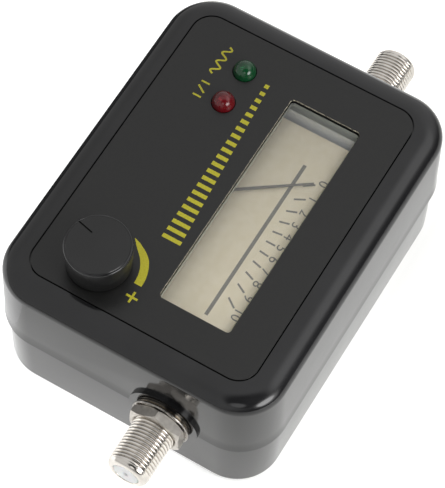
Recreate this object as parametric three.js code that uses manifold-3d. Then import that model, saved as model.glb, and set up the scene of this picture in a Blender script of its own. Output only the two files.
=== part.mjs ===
// Handheld satellite signal meter: a two-shell box with a pointer meter under a window,
// a level knob, two indicator lamps and a threaded coaxial connector at each end.
// Millimetres, +Z up. The box lies on its back, centred on the origin at its underside.
// +X is the reading direction of the dial and +Y is the window side of the face.

import * as THREE from 'three';
import { mergeVertices } from 'three/addons/utils/BufferGeometryUtils.js';
import Module from 'manifold-3d';

const wasm = await Module();
wasm.setup();

// Clearances
const seatGap = 0.05; // between pieces that rest on or fit in one another
const runningGap = 0.06; // radial, round a turning shaft
const overcut = 1; // how far a cutting tool passes the face that it opens

// Case shells
const caseLength = 85.7;
const caseWidth = 66.7;
const caseHeight = 37.8;
const cornerRadius = 10.9;
const wall = 2.2;
const jointDrop = 1.2; // from the connectors' axis down to the line between the two shells
const lowerInset = 0.85; // how far the lower shell stands back under the upper one
const lowerDraft = 0.15;
const upperDraftX = 0.18;
const upperDraftY = 0.38;
const crownReach = 5.4; // rounding from the side walls to the face, measured across
const crownDrop = 3.4; // the same rounding, measured down
const innerCrownReach = 4.3;
const innerCrownDrop = 2.4;
const footRadius = 1.4;
const tongueHeight = 2.5;
const tongueRoot = 3;
const tongueThickness = 1.2;
const tongueGap = 0.15;
const postFromEnd = 8.85; // from the case's end to a screw post's axis
const postFromSide = 9.05;
const postRadius = 2.75;
const postBaseRadius = 4.2;

// Case screws
const screwRadius = 1.3;
const screwHeadRadius = 2.6;
const screwHeadHeight = 1.7;
const screwHeadEdge = 0.6;
const screwSink = 1.4; // depth of the head below the underside
const screwLength = 20;
const screwHoleGap = 0.2;
const screwCrossLength = 3;
const screwCrossWidth = 0.6;
const screwCrossDepth = 0.8;

// Face label
const labelFromEnd = 6.35; // from the case's end to the label's
const labelFromSide = 6.8;
const labelThickness = 0.4;
const labelRecess = 0.45;
const labelGroove = 0.3; // dark line left round the label
const labelCorner = 4.5;
const labelX = -0.1;
const labelY = -0.45;

// Window
const windowX = 0.45;
const windowFromEnd = 15.4; // from the case's ends to the window's, on average
const windowFromSide = 16.25; // from the case's side to the window's far edge
const windowFromMeter = 5.4; // from the dial chamber's near edge to the window's
const windowCorner = 0.9;

// Indicator lamps
const lampFromEnd = 15.25; // from the case's end to the first lamp
const lampFromSide = 21.65;
const lampPitch = 9;
const lampRadius = 2.5;
const lampHoleGap = 0.12;
const lampFlangeRadius = 2.9;
const lampFlangeHeight = 1;
const lampBodyHeight = 6.1; // from its base to where the dome starts
const lampLeadRadius = 0.25;
const lampLeadPitch = 2.54;

// Level control
const controlFromEnd = 15.05; // from the case's end to the control's axis
const controlFromSide = 19.5;
const controlRadius = 8.2;
const controlPlate = 0.95;
const controlCanHeight = 5;
const controlCanWall = 0.6;
const controlWafer = 1;
const controlTerminalPitch = 5;
const controlTerminalOffset = 5.5;
const controlTerminalRadius = 0.5;
const bushingRadius = 3.5;
const bushingHeight = 6; // above the plate
const bushingHoleGap = 0.15;
const shaftRadius = 3;
const shaftSeat = 0.1; // between the shaft's end and the knob's roof
const shaftTail = 1.6; // below the turning disc
const rotorRadius = 6.8;
const rotorThickness = 1.2;
const controlWasherRadius = 5.4;
const controlWasherThickness = 0.5;
const controlNutAcross = 9.6;
const controlNutThickness = 2;
const knobHeight = 8;
const knobLift = 0.4;
const knobFlare = 0.4; // how much wider the knob is at its top
const knobEdge = 0.45;
const knobNutGap = 0.46; // between the nut's corners and the knob's hollow
const knobWall = 0.8;
const knobRoof = 1.5;
const knobHubWall = 1.35;
const knobHubLift = 0.55; // between the bushing's end and the knob's hub
const knobMarkWidth = 0.6;
const knobMarkDepth = 0.3;
const knobMarkStart = 2.9; // from the knob's axis
const knobMarkAngle = -115; // where the mark points at rest, counted from +X

// Coaxial connectors
const connectorFromSide = 22.55; // from the case's side to the connectors' axis
const bossRim = 1.5; // how much wider than the washer a connector's seat is
const bossHeight = 0.55;
const padInset = 0.5; // how much smaller than the washer the pad on a seat is
const padHeight = 0.55;
const connectorReach = 15.35; // from the wall to the connector's end
const threadRadius = 4.76;
const threadDepth = 0.45;
const threadPitch = 0.79;
const threadCrest = 0.1;
const threadCount = 11;
const collarLength = 2.1;
const collarStep = 0.06; // how far the collar stands back under the thread's crests
const collarRound = 1.1;
const endWall = 0.4;
const barrelWall = 0.61; // under the thread's roots
const connectorNeckBore = 1.8;
const connectorHoleGap = 0.15;
const flangeRim = 1.04; // how much wider than the thread the inner flange is
const flangeThickness = 2;
const flangePocketGap = 0.3;
const connectorTailRadius = 3.4;
const connectorTailLength = 1.2;
const insulatorSink = 0.35;
const insulatorRoot = 0.5;
const contactRadius = 0.45;
const contactSink = 1.6;
const contactTail = 4.2; // bare end that lies on the board
const socketRadius = 0.6;
const washerRim = 1.94; // how much wider than the thread the washer is
const washerThickness = 0.6;
const nutWall = 1.04; // between the thread's crests and the nut's flats
const nutThickness = 2.4;
const nutChamfer = 0.5;
const nutTurn = 30; // turns the nut from flat side up to corner up, in degrees

// Circuit board
const boardEndGap = 0.42; // between the board and the connectors' inner ends
const boardFromSide = 5.05;
const boardCorner = 6;
const boardThickness = 1.6;
const boardHoleRadius = 1.6;
const chipFromEnd = 23.85;
const chipFromSide = 12.35;
const chipLength = 9.8;
const chipWidth = 6.4;
const chipHeight = 3.6;
const chipNotch = 1.2;
const regulatorX = 12;
const regulatorFromSide = 9.15;
const regulatorRadius = 2.4;
const regulatorFlat = 1.3;
const regulatorHeight = 4.6;
const capacitorTallFromEnd = 9.85;
const capacitorTallFromSide = 28.35;
const capacitorTallRadius = 3.1;
const capacitorTallHeight = 11;
const capacitorShortX = 2.5;
const capacitorShortFromSide = 8.95;
const capacitorShortRadius = 2.5;
const capacitorShortHeight = 7;
const chokeRadius = 2;
const chokeWaist = 1.3;
const chokeHeight = 4;
const chokeRim = 0.7;
const chokeFromEnd = 9.85;
const chokeFromSide = 21.35;
const buzzerX = 0;
const buzzerY = -9;
const buzzerRadius = 6;
const buzzerHeight = 7.5;
const buzzerHoleRadius = 1;
const buzzerHoleDepth = 2;

// Pointer meter
const pivotOffset = 2.85; // from the window's middle to the pivot
const meterRim = 2.85; // how far the dial chamber passes the window's ends
const meterFrontRim = 3.5; // how far it passes the window's far edge
const controlClearance = 0.65; // between the dial chamber and the level control
const movementFromSide = 12.85;
const movementDepth = 11; // from the movement chamber's rear to the pivot
const movementGap = 0.2; // between the iron ring and the chamber's wall
const meterWall = 1.5;
const coverTop = 1;
const coverDepth = 5.6;
const lensRise = 0.5; // how far the cover's middle stands up into the window
const lensGap = 0.15; // round it
const meterLift = 2.15; // between the board and the meter
const baseFloor = 1.5;
const dialDrop = 1.55; // air between the cover and the dial
const dialThickness = 0.5;
const dialEndGap = 0.9;
const dialEdgeGap = 0.2;
const dialPostFromEnd = 3.4; // from the dial's end
const dialPostFromBack = 3.1; // from the dial chamber's near edge
const dialPostRadius = 1.3;
const dialScrewRadius = 0.6;
const dialScrewHeadRadius = 1;
const dialScrewHeadHeight = 0.5;
const dialScrewLength = 3;
const pointerLift = 0.55; // above the dial
const pointerThickness = 0.25;
const pointerTipGap = 0.1;
const pointerRootWidth = 0.9;
const pointerTipWidth = 0.4;
const pointerTail = 4.5;
const pointerTailWidth = 1.6;
const pointerHubRadius = 1.5;
const pointerHubDrop = 0.5;
const halfSweep = 36; // from the middle of the scale to either end, in degrees
const staffRadius = 0.35;
const coilReach = 1.2; // between the coil's side and the iron ring
const coilBar = 0.8;
const coilThickness = 2.4;
const coilFloor = 1.2; // above the base's floor
const coilWire = 0.45;
const coilGap = 0.4;
const magnetGap = 0.15;
const yokeInner = 5.9;
const yokeOuter = 7.2;
const strapWidth = 2.6;
const strapThickness = 0.5;
const pillarWidth = 1.2;
const bridgeWidth = 2.6;
const bridgeThickness = 0.5;
const jewelRadius = 0.9;
const springInner = 0.8;
const springTurns = 2.5;
const springPitch = 0.6;
const springHeight = 0.25;
const springThickness = 0.12;
const meterTerminalRadius = 0.8;
const meterTerminalX = 6;
const meterTerminalY = 12;
const ribThickness = 1.4;
const ribLength = 9;
const ribDrop = 4;

// Facets of round pieces
const roundSteps = 28;
const mediumSteps = 20;
const smallSteps = 12;
const cornerSteps = 6;
const crownSteps = 4;
const domeSteps = 5;
const collarSteps = 3;
const springSteps = 12;

// Heights that follow from the sizes above
const connectorHeight = caseHeight / 2;
const jointHeight = connectorHeight - jointDrop;
const ceiling = caseHeight - wall;
const screwSeat = screwSink + screwHeadHeight;
const screwEnd = screwSeat + screwLength;
const labelFloor = caseHeight - labelRecess;
const labelTop = labelFloor + seatGap + labelThickness;
const connectorFace = caseLength / 2;
const connectorY = caseWidth / 2 - connectorFromSide;
const connectorBoreRadius = threadRadius - threadDepth - barrelWall;
const connectorEndRadius = connectorBoreRadius + endWall;
const collarRadius = threadRadius - collarStep;
const flangeRadius = threadRadius + flangeRim;
const washerRadius = threadRadius + washerRim;
const bossRadius = washerRadius + bossRim;
const padRadius = washerRadius - padInset;
const padFace = connectorFace + bossHeight + padHeight;
const nutAcross = (threadRadius + nutWall) * 2;
const connectorEnd = connectorFace + connectorReach;
const flangeFront = connectorFace - wall - upperDraftX - seatGap;
const flangeBack = flangeFront - flangeThickness;
const connectorTail = flangeBack - connectorTailLength;
const boardTop = connectorHeight - contactRadius - seatGap;
const boardBottom = boardTop - boardThickness;
const meterTop = ceiling - seatGap;
const coverUnder = meterTop - coverTop;
const coverFoot = meterTop - coverDepth;
const meterBottom = boardTop + meterLift;
const movementFloor = meterBottom + baseFloor;
const dialTop = coverUnder - dialDrop;
const pointerBottom = dialTop + pointerLift;
const pointerTop = pointerBottom + pointerThickness;
const coilHalfWidth = yokeInner - coilReach;
const magnetRadius = coilHalfWidth - coilWire - seatGap - coilBar - magnetGap;
const coilBottom = movementFloor + coilFloor;
const coilTop = pointerBottom - pointerHubDrop - springHeight * 2 - seatGap * 4;
const strapFoot = coilBottom + coilWire + coilBar + coilGap;

// Places that follow from the case's ends, its sides and each other
const postX = caseLength / 2 - postFromEnd;
const postY = caseWidth / 2 - postFromSide;
const boardHalfX = connectorTail - boardEndGap;
const boardHalfY = caseWidth / 2 - boardFromSide;
const labelLength = caseLength - labelFromEnd * 2;
const labelWidth = caseWidth - labelFromSide * 2;
const greenLampX = lampFromEnd - caseLength / 2;
const redLampX = greenLampX + lampPitch;
const lampY = lampFromSide - caseWidth / 2;
const controlX = caseLength / 2 - controlFromEnd;
const controlY = controlFromSide - caseWidth / 2;
const chipX = chipFromEnd - caseLength / 2;
const chipY = chipFromSide - caseWidth / 2;
const regulatorY = regulatorFromSide - caseWidth / 2;
const capacitorTallX = capacitorTallFromEnd - caseLength / 2;
const capacitorTallY = capacitorTallFromSide - caseWidth / 2;
const capacitorShortY = capacitorShortFromSide - caseWidth / 2;
const chokeX = chokeFromEnd - caseLength / 2;
const chokeY = chokeFromSide - caseWidth / 2;
const meterBack = controlY + controlRadius + controlClearance;
const windowLength = caseLength - windowFromEnd * 2;
const windowBack = meterBack + windowFromMeter;
const windowFront = caseWidth / 2 - windowFromSide;
const windowWidth = windowFront - windowBack;
const windowY = (windowBack + windowFront) / 2;
const meterFront = windowFront + meterFrontRim;
const meterHalfLength = windowLength / 2 + meterRim;
const movementHalfWidth = yokeOuter + movementGap + meterWall;
const movementBack = movementFromSide - caseWidth / 2;
const pivotX = windowX + pivotOffset;
const pivotY = movementBack + movementDepth;
const pointerLength = meterFront - meterWall - pointerTipGap - pivotY;
const dialHalfLength = meterHalfLength - meterWall - dialEndGap;
const dialPostX = dialHalfLength - dialPostFromEnd;
const dialPostY = meterBack + dialPostFromBack;

// Sizes of the knob that follow from what it covers
const bushingTop = ceiling - seatGap + bushingHeight;
const knobUnderRoof = labelTop + knobHeight - knobRoof;
const shaftEnd = knobUnderRoof - shaftSeat;
const knobHollowRadius = controlNutAcross / Math.sqrt(3) + knobNutGap;
const knobFootRadius = knobHollowRadius + knobWall;
const knobTopRadius = knobFootRadius + knobFlare;

function solid(geometry) {
  const bare = geometry.clone();
  bare.deleteAttribute('normal');
  bare.deleteAttribute('uv');
  const merged = mergeVertices(bare, 1e-4);
  const corners = merged.index.array;
  const kept = [];
  for (let i = 0; i < corners.length; i += 3) {
    const [a, b, c] = [corners[i], corners[i + 1], corners[i + 2]];
    if (a !== b && b !== c && c !== a) kept.push(a, b, c);
  }
  const points = Array.from(merged.attributes.position.array);
  if (signedVolume(points, kept) < 0) kept.reverse();
  return new wasm.Manifold(new wasm.Mesh({
    numProp: 3,
    vertProperties: new Float32Array(points),
    triVerts: new Uint32Array(kept),
  }));
}

function signedVolume(points, corners) {
  const [a, b, c] = [new THREE.Vector3(), new THREE.Vector3(), new THREE.Vector3()];
  let total = 0;
  for (let i = 0; i < corners.length; i += 3) {
    a.fromArray(points, corners[i] * 3);
    b.fromArray(points, corners[i + 1] * 3);
    c.fromArray(points, corners[i + 2] * 3);
    total += a.dot(b.cross(c));
  }
  return total;
}

function joined(...solids) {
  return solids.reduce((whole, piece) => whole.add(piece));
}

function cut(body, ...tools) {
  return tools.reduce((left, tool) => left.subtract(tool), body);
}

function mesh(name, body, material) {
  const data = body.getMesh();
  const geometry = new THREE.BufferGeometry();
  geometry.setAttribute('position', new THREE.BufferAttribute(new Float32Array(data.vertProperties), 3));
  geometry.setIndex(new THREE.BufferAttribute(new Uint32Array(data.triVerts), 1));
  geometry.computeVertexNormals();
  const made = new THREE.Mesh(geometry, material);
  made.name = name;
  return made;
}

function placed(name, body, place, material) {
  const made = mesh(name, body, material);
  made.position.set(...place);
  return made;
}

function block(x0, x1, y0, y1, z0, z1) {
  const geometry = new THREE.BoxGeometry(x1 - x0, y1 - y0, z1 - z0);
  return solid(geometry.translate((x0 + x1) / 2, (y0 + y1) / 2, (z0 + z1) / 2));
}

function rod(radius, z0, z1, x = 0, y = 0, steps = mediumSteps) {
  const geometry = new THREE.CylinderGeometry(radius, radius, z1 - z0, steps);
  return solid(geometry.rotateX(Math.PI / 2).translate(x, y, (z0 + z1) / 2));
}

function pin(radius, z0, z1) {
  return rod(radius, z0, z1, 0, 0, smallSteps);
}

function rodAlongX(radius, x0, x1, steps = roundSteps) {
  const geometry = new THREE.CylinderGeometry(radius, radius, Math.abs(x1 - x0), steps);
  return solid(geometry.rotateZ(Math.PI / 2).translate((x0 + x1) / 2, 0, 0));
}

// A solid of revolution about Z from [radius, z] pairs that start and end on the axis,
// or that close on themselves.
function turned(profile, steps = mediumSteps) {
  const points = profile.map(([radius, z]) => new THREE.Vector2(radius, z));
  return solid(new THREE.LatheGeometry(points, steps).rotateX(Math.PI / 2));
}

function ring(outer, inner, z0, z1, steps = mediumSteps) {
  return turned([[inner, z0], [outer, z0], [outer, z1], [inner, z1], [inner, z0]], steps);
}

function hexagon(across, z0, z1) {
  const corner = across / Math.sqrt(3);
  const geometry = new THREE.CylinderGeometry(corner, corner, z1 - z0, 6);
  return solid(geometry.rotateX(Math.PI / 2).translate(0, 0, (z0 + z1) / 2));
}

function prism(outline, z0, z1) {
  const shape = new THREE.Shape(outline.map(([x, y]) => new THREE.Vector2(x, y)));
  const geometry = new THREE.ExtrudeGeometry(shape, { depth: z1 - z0, bevelEnabled: false });
  return solid(geometry.translate(0, 0, z0));
}

function roundedOutline(halfX, halfY, radius, x = 0, y = 0) {
  const outline = [];
  const centres = [[1, 1], [-1, 1], [-1, -1], [1, -1]];
  centres.forEach(([signX, signY], quarter) => {
    for (let step = 0; step <= cornerSteps; step += 1) {
      const angle = (quarter + step / cornerSteps) * Math.PI / 2;
      outline.push([
        x + signX * (halfX - radius) + radius * Math.cos(angle),
        y + signY * (halfY - radius) + radius * Math.sin(angle),
      ]);
    }
  });
  return outline;
}

// A closed skin through rounded outlines of the case's plan, each at its own height.
function loft(sections) {
  const rings = sections.map(({ z, insetX, insetY }) => {
    const radius = cornerRadius - (insetX + insetY) / 2;
    const outline = roundedOutline(caseLength / 2 - insetX, caseWidth / 2 - insetY, radius);
    return outline.map(([x, y]) => [x, y, z]);
  });
  const count = rings[0].length;
  const corners = [];
  for (let level = 0; level < rings.length - 1; level += 1) {
    for (let i = 0; i < count; i += 1) {
      const next = (i + 1) % count;
      const [a, b] = [level * count + i, level * count + next];
      corners.push(a, b, b + count, a, b + count, a + count);
    }
  }
  const top = (rings.length - 1) * count;
  for (let i = 1; i < count - 1; i += 1) {
    corners.push(0, i + 1, i, top, top + i, top + i + 1);
  }
  const geometry = new THREE.BufferGeometry();
  geometry.setAttribute('position', new THREE.Float32BufferAttribute(rings.flat(2), 3));
  geometry.setIndex(corners);
  return solid(geometry);
}

// Sections of a rounded top edge: an elliptical quarter that ends level at the given height.
function crown(top, drop, reach, insetX, insetY) {
  const sections = [];
  for (let step = 0; step <= crownSteps; step += 1) {
    const angle = step / crownSteps * Math.PI / 2;
    const inset = reach * (1 - Math.cos(angle));
    const z = top - drop + drop * Math.sin(angle);
    sections.push({ z, insetX: insetX + inset, insetY: insetY + inset });
  }
  return sections;
}

function bothEnds(make) {
  return joined(make(1), make(-1));
}

function atConnector(body) {
  return body.translate([0, connectorY, connectorHeight]);
}

// Half-round seats of the connectors, each with a smaller pad, which stand on the upper shell only.
function bosses() {
  const above = block(-caseLength, caseLength, -caseWidth, caseWidth, jointHeight, caseHeight);
  const from = caseLength / 2 - wall;
  return bothEnds((side) => atConnector(joined(
    rodAlongX(bossRadius, side * from, side * (connectorFace + bossHeight)),
    rodAlongX(padRadius, side * from, side * padFace),
  ))).intersect(above);
}

function connectorHole() {
  const reach = padFace + overcut;
  const radius = threadRadius + connectorHoleGap;
  return bothEnds((side) => atConnector(rodAlongX(radius, side * (reach / 2), side * reach)));
}

function postPlaces() {
  return [[postX, postY], [-postX, postY], [-postX, -postY], [postX, -postY]];
}

function posts(radius, z0, z1) {
  return joined(...postPlaces().map(([x, y]) => rod(radius, z0, z1, x, y, smallSteps)));
}

function windowTool(z0, z1) {
  const [halfX, halfY] = [windowLength / 2, windowWidth / 2];
  return prism(roundedOutline(halfX, halfY, windowCorner, windowX, windowY), z0, z1);
}

// Plan of the label, or of its recess where it is grown by the groove left round it.
function labelOutline(growth) {
  const [halfX, halfY] = [labelLength / 2 + growth, labelWidth / 2 + growth];
  return roundedOutline(halfX, halfY, labelCorner + growth, labelX, labelY);
}

function lampTools(z0, z1) {
  const radius = lampRadius + lampHoleGap;
  return joined(rod(radius, z0, z1, greenLampX, lampY), rod(radius, z0, z1, redLampX, lampY));
}

function bushingTool(z0, z1) {
  return rod(bushingRadius + bushingHoleGap, z0, z1, controlX, controlY);
}

function meterRib(side) {
  const face = pivotX + side * (meterHalfLength + seatGap * 2);
  const back = face + side * ribThickness;
  const [x0, x1] = [Math.min(face, back), Math.max(face, back)];
  const half = ribLength / 2;
  return block(x0, x1, windowY - half, windowY + half, ceiling - ribDrop, ceiling + wall / 2);
}

function upperShell(material) {
  const outer = loft([
    { z: jointHeight, insetX: 0, insetY: 0 },
    ...crown(caseHeight, crownDrop, crownReach, upperDraftX, upperDraftY),
  ]);
  const cavity = loft([
    { z: jointHeight - overcut, insetX: wall, insetY: wall },
    ...crown(ceiling, innerCrownDrop, innerCrownReach, wall + upperDraftX, wall + upperDraftY),
  ]);
  const skin = cut(joined(outer, bosses()), cavity);
  const inside = joined(
    posts(postRadius, boardTop + seatGap, ceiling + wall / 2),
    meterRib(1),
    meterRib(-1),
  );
  const body = cut(
    joined(skin, inside),
    prism(labelOutline(labelGroove), labelFloor, caseHeight + overcut),
    windowTool(ceiling - overcut, caseHeight + overcut),
    lampTools(ceiling - overcut, caseHeight + overcut),
    bushingTool(ceiling - overcut, caseHeight + overcut),
    connectorHole(),
    posts(screwRadius + seatGap, boardTop - overcut, screwEnd + overcut),
  );
  return mesh('upper_shell', body, material);
}

function lowerShell(material) {
  const footInset = lowerInset + lowerDraft;
  const outer = loft([
    ...crown(0, -footRadius, footRadius, footInset, footInset).reverse(),
    { z: jointHeight, insetX: lowerInset, insetY: lowerInset },
  ]);
  const inner = wall + lowerInset;
  const cavity = loft([
    { z: wall, insetX: inner + lowerDraft, insetY: inner + lowerDraft },
    { z: jointHeight + overcut, insetX: inner, insetY: inner },
  ]);
  const tongueInset = wall + tongueGap;
  const tongueSections = (inset, z0, z1) => loft([
    { z: z0, insetX: inset, insetY: inset },
    { z: z1, insetX: inset, insetY: inset },
  ]);
  const tongueTop = jointHeight + tongueHeight;
  const tongueFoot = jointHeight - tongueRoot;
  const tongue = cut(
    tongueSections(tongueInset, tongueFoot, tongueTop),
    tongueSections(tongueInset + tongueThickness, tongueFoot - overcut, tongueTop + overcut),
  );
  const skin = cut(outer, cavity);
  const pocketReach = caseLength / 2 - wall;
  const pocket = bothEnds((side) => {
    const radius = flangeRadius + flangePocketGap;
    return atConnector(rodAlongX(radius, side * (boardHalfX - overcut), side * pocketReach));
  });
  const body = cut(
    joined(
      skin,
      tongue,
      posts(postRadius, wall / 2, boardBottom - seatGap),
      posts(postBaseRadius, wall / 2, screwSeat + wall),
    ),
    pocket,
    connectorHole(),
    posts(screwRadius + screwHoleGap, -overcut, boardTop),
    posts(screwHeadRadius + screwHoleGap, -overcut, screwSeat + seatGap),
  );
  return mesh('lower_shell', body, material);
}

function caseScrew(name, x, y, material) {
  const half = screwCrossLength / 2;
  const slot = screwCrossWidth / 2;
  const end = screwHeadHeight + screwLength;
  const head = turned([
    [0, 0],
    [screwHeadRadius - screwHeadEdge, 0],
    [screwHeadRadius, screwHeadEdge],
    [screwHeadRadius, screwHeadHeight],
    [screwRadius, screwHeadHeight],
    [screwRadius, end - screwRadius],
    [0, end],
  ]);
  const body = cut(
    head,
    block(-half, half, -slot, slot, -overcut, screwCrossDepth),
    block(-slot, slot, -half, half, -overcut, screwCrossDepth),
  );
  return placed(name, body, [x, y, screwSink], material);
}

function faceLabel(material) {
  const z0 = labelFloor + seatGap;
  const body = cut(
    prism(labelOutline(0), z0, labelTop),
    windowTool(z0 - overcut, labelTop + overcut),
    lampTools(z0 - overcut, labelTop + overcut),
    bushingTool(z0 - overcut, labelTop + overcut),
  );
  return mesh('face_label', body, material);
}

function lamp(name, lampX, material, leadMaterial) {
  const group = new THREE.Group();
  const foot = labelTop - lampBodyHeight;
  group.position.set(lampX, lampY, foot);
  const profile = [
    [0, 0],
    [lampFlangeRadius, 0],
    [lampFlangeRadius, lampFlangeHeight],
    [lampRadius, lampFlangeHeight],
  ];
  for (let step = 0; step <= domeSteps; step += 1) {
    const angle = step / domeSteps * Math.PI / 2;
    profile.push([lampRadius * Math.cos(angle), lampBodyHeight + lampRadius * Math.sin(angle)]);
  }
  profile[profile.length - 1][0] = 0;
  group.add(mesh(name, turned(profile), material));
  ['anode', 'cathode'].forEach((end, i) => {
    const lead = pin(lampLeadRadius, boardTop + seatGap - foot, -seatGap);
    const x = (i - 1 / 2) * lampLeadPitch;
    group.add(placed(`${name}_${end}`, lead, [x, 0, 0], leadMaterial));
  });
  return group;
}

function levelControl(materials) {
  const group = new THREE.Group();
  group.position.set(controlX, controlY, 0);
  const plateTop = ceiling - seatGap;
  const plateFoot = plateTop - controlPlate;
  const canFoot = plateFoot - seatGap - controlCanHeight;
  const waferTop = canFoot - seatGap;
  const waferFoot = waferTop - controlWafer;
  const shaftBore = shaftRadius + runningGap;
  const housing = turned([
    [shaftBore, plateFoot],
    [controlRadius, plateFoot],
    [controlRadius, plateTop],
    [bushingRadius, plateTop],
    [bushingRadius, bushingTop],
    [shaftBore, bushingTop],
    [shaftBore, plateFoot],
  ]);
  group.add(mesh('control_housing', housing, materials.steel));
  const can = ring(controlRadius, controlRadius - controlCanWall, canFoot, plateFoot - seatGap);
  group.add(mesh('control_can', can, materials.steel));
  group.add(mesh('control_wafer', rod(controlRadius, waferFoot, waferTop), materials.phenolic));
  for (let i = 0; i < 3; i += 1) {
    const terminal = pin(controlTerminalRadius, boardTop + seatGap, waferFoot - seatGap);
    const place = [(i - 1) * controlTerminalPitch, controlTerminalOffset, 0];
    group.add(placed(`control_terminal_${i + 1}`, terminal, place, materials.tin));
  }
  const washerFoot = labelTop + seatGap;
  const washerTop = washerFoot + controlWasherThickness;
  const nutFoot = washerTop + seatGap;
  const nutTop = nutFoot + controlNutThickness;
  const bore = bushingRadius + seatGap;
  const washer = ring(controlWasherRadius, bore, washerFoot, washerTop);
  group.add(mesh('control_washer', washer, materials.steel));
  const nut = cut(
    hexagon(controlNutAcross, nutFoot, nutTop),
    rod(bore, nutFoot - overcut, nutTop + overcut),
  );
  group.add(mesh('control_nut', nut, materials.nickel));
  const rotorTop = plateFoot - controlPlate;
  const rotorFoot = rotorTop - rotorThickness;
  const shaft = turned([
    [0, rotorFoot - shaftTail],
    [shaftRadius / 2, rotorFoot - shaftTail],
    [shaftRadius / 2, rotorFoot],
    [rotorRadius, rotorFoot],
    [rotorRadius, rotorTop],
    [shaftRadius, rotorTop],
    [shaftRadius, shaftEnd],
    [0, shaftEnd],
  ]);
  group.add(mesh('control_shaft', shaft, materials.shaft));
  group.add(knob(materials.knob));
  return group;
}

function knob(material) {
  const top = labelTop + knobHeight;
  const foot = labelTop + knobLift;
  const hubFoot = bushingTop + knobHubLift;
  const bore = shaftRadius + seatGap;
  const hub = bore + knobHubWall;
  const edge = knobEdge;
  const chamfer = edge * (1 - Math.SQRT1_2);
  const body = turned([
    [0, top],
    [knobTopRadius - edge, top],
    [knobTopRadius - chamfer, top - chamfer],
    [knobTopRadius, top - edge],
    [knobFootRadius, foot],
    [knobHollowRadius, foot],
    [knobHollowRadius, knobUnderRoof],
    [hub, knobUnderRoof],
    [hub, hubFoot],
    [bore, hubFoot],
    [bore, knobUnderRoof],
    [0, knobUnderRoof],
  ], roundSteps);
  const half = knobMarkWidth / 2;
  const mark = block(knobMarkStart, knobTopRadius - edge, -half, half, top - knobMarkDepth, top + overcut);
  return mesh('knob', cut(body, mark.rotate([0, 0, knobMarkAngle])), material);
}

function connectorShell(side, material) {
  const threadEnd = connectorEnd - collarLength;
  const firstThread = threadEnd - threadCount * threadPitch;
  const profile = [
    [connectorNeckBore, connectorTail],
    [connectorTailRadius, connectorTail],
    [connectorTailRadius, flangeBack],
    [flangeRadius, flangeBack],
    [flangeRadius, flangeFront],
    [threadRadius, flangeFront],
    [threadRadius, firstThread],
  ];
  for (let turn = 0; turn < threadCount; turn += 1) {
    const start = firstThread + turn * threadPitch;
    profile.push([threadRadius - threadDepth, start + (threadPitch - threadCrest) / 2]);
    profile.push([threadRadius, start + threadPitch - threadCrest]);
    profile.push([threadRadius, start + threadPitch]);
  }
  const step = flangeBack + insulatorRoot;
  profile.push([collarRadius, threadEnd + seatGap]);
  for (let part = 0; part <= collarSteps; part += 1) {
    const angle = part / collarSteps * Math.PI / 2;
    const radius = connectorEndRadius + (collarRadius - connectorEndRadius) * Math.cos(angle);
    profile.push([radius, connectorEnd - collarRound * (1 - Math.sin(angle))]);
  }
  profile.push([connectorBoreRadius, connectorEnd]);
  profile.push([connectorBoreRadius, step]);
  profile.push([connectorNeckBore, step]);
  profile.push([connectorNeckBore, connectorTail]);
  return connectorPiece('body', side, turned(profile), material);
}

// Connector pieces are turned about Z and then laid along X, towards either end of the case.
function connectorPiece(piece, side, body, material) {
  const name = `${side > 0 ? 'right' : 'left'}_connector_${piece}`;
  return mesh(name, atConnector(body.rotate([0, side * 90, 0])), material);
}

function connector(side, materials) {
  const root = flangeBack + insulatorRoot + seatGap;
  const insulatorEnd = connectorEnd - insulatorSink;
  const contactEnd = insulatorEnd - contactSink;
  const bore = contactRadius + seatGap;
  const insulator = turned([
    [bore, connectorTail],
    [connectorNeckBore - seatGap, connectorTail],
    [connectorNeckBore - seatGap, root],
    [connectorBoreRadius - seatGap, root],
    [connectorBoreRadius - seatGap, insulatorEnd],
    [socketRadius, insulatorEnd],
    [socketRadius, contactEnd],
    [bore, contactEnd],
    [bore, connectorTail],
  ]);
  const contact = pin(contactRadius, connectorTail - contactTail, contactEnd);
  const washerFoot = padFace + seatGap;
  const washerFront = washerFoot + washerThickness;
  const nutFoot = washerFront + seatGap;
  const nutFront = nutFoot + nutThickness;
  const clear = threadRadius + seatGap;
  const corner = nutAcross / Math.sqrt(3);
  const envelope = turned([
    [0, nutFoot],
    [corner, nutFoot],
    [corner, nutFront - nutChamfer],
    [corner - nutChamfer * 2, nutFront],
    [0, nutFront],
  ]);
  const nut = cut(
    hexagon(nutAcross, nutFoot, nutFront).rotate([0, 0, nutTurn]).intersect(envelope),
    rod(clear, nutFoot - overcut, nutFront + overcut),
  );
  const washer = ring(washerRadius, clear, washerFoot, washerFront);
  return [
    connectorShell(side, materials.nickel),
    connectorPiece('insulator', side, insulator, materials.insulator),
    connectorPiece('contact', side, contact, materials.brass),
    connectorPiece('washer', side, washer, materials.nickel),
    connectorPiece('nut', side, nut, materials.nickel),
  ];
}

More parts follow.
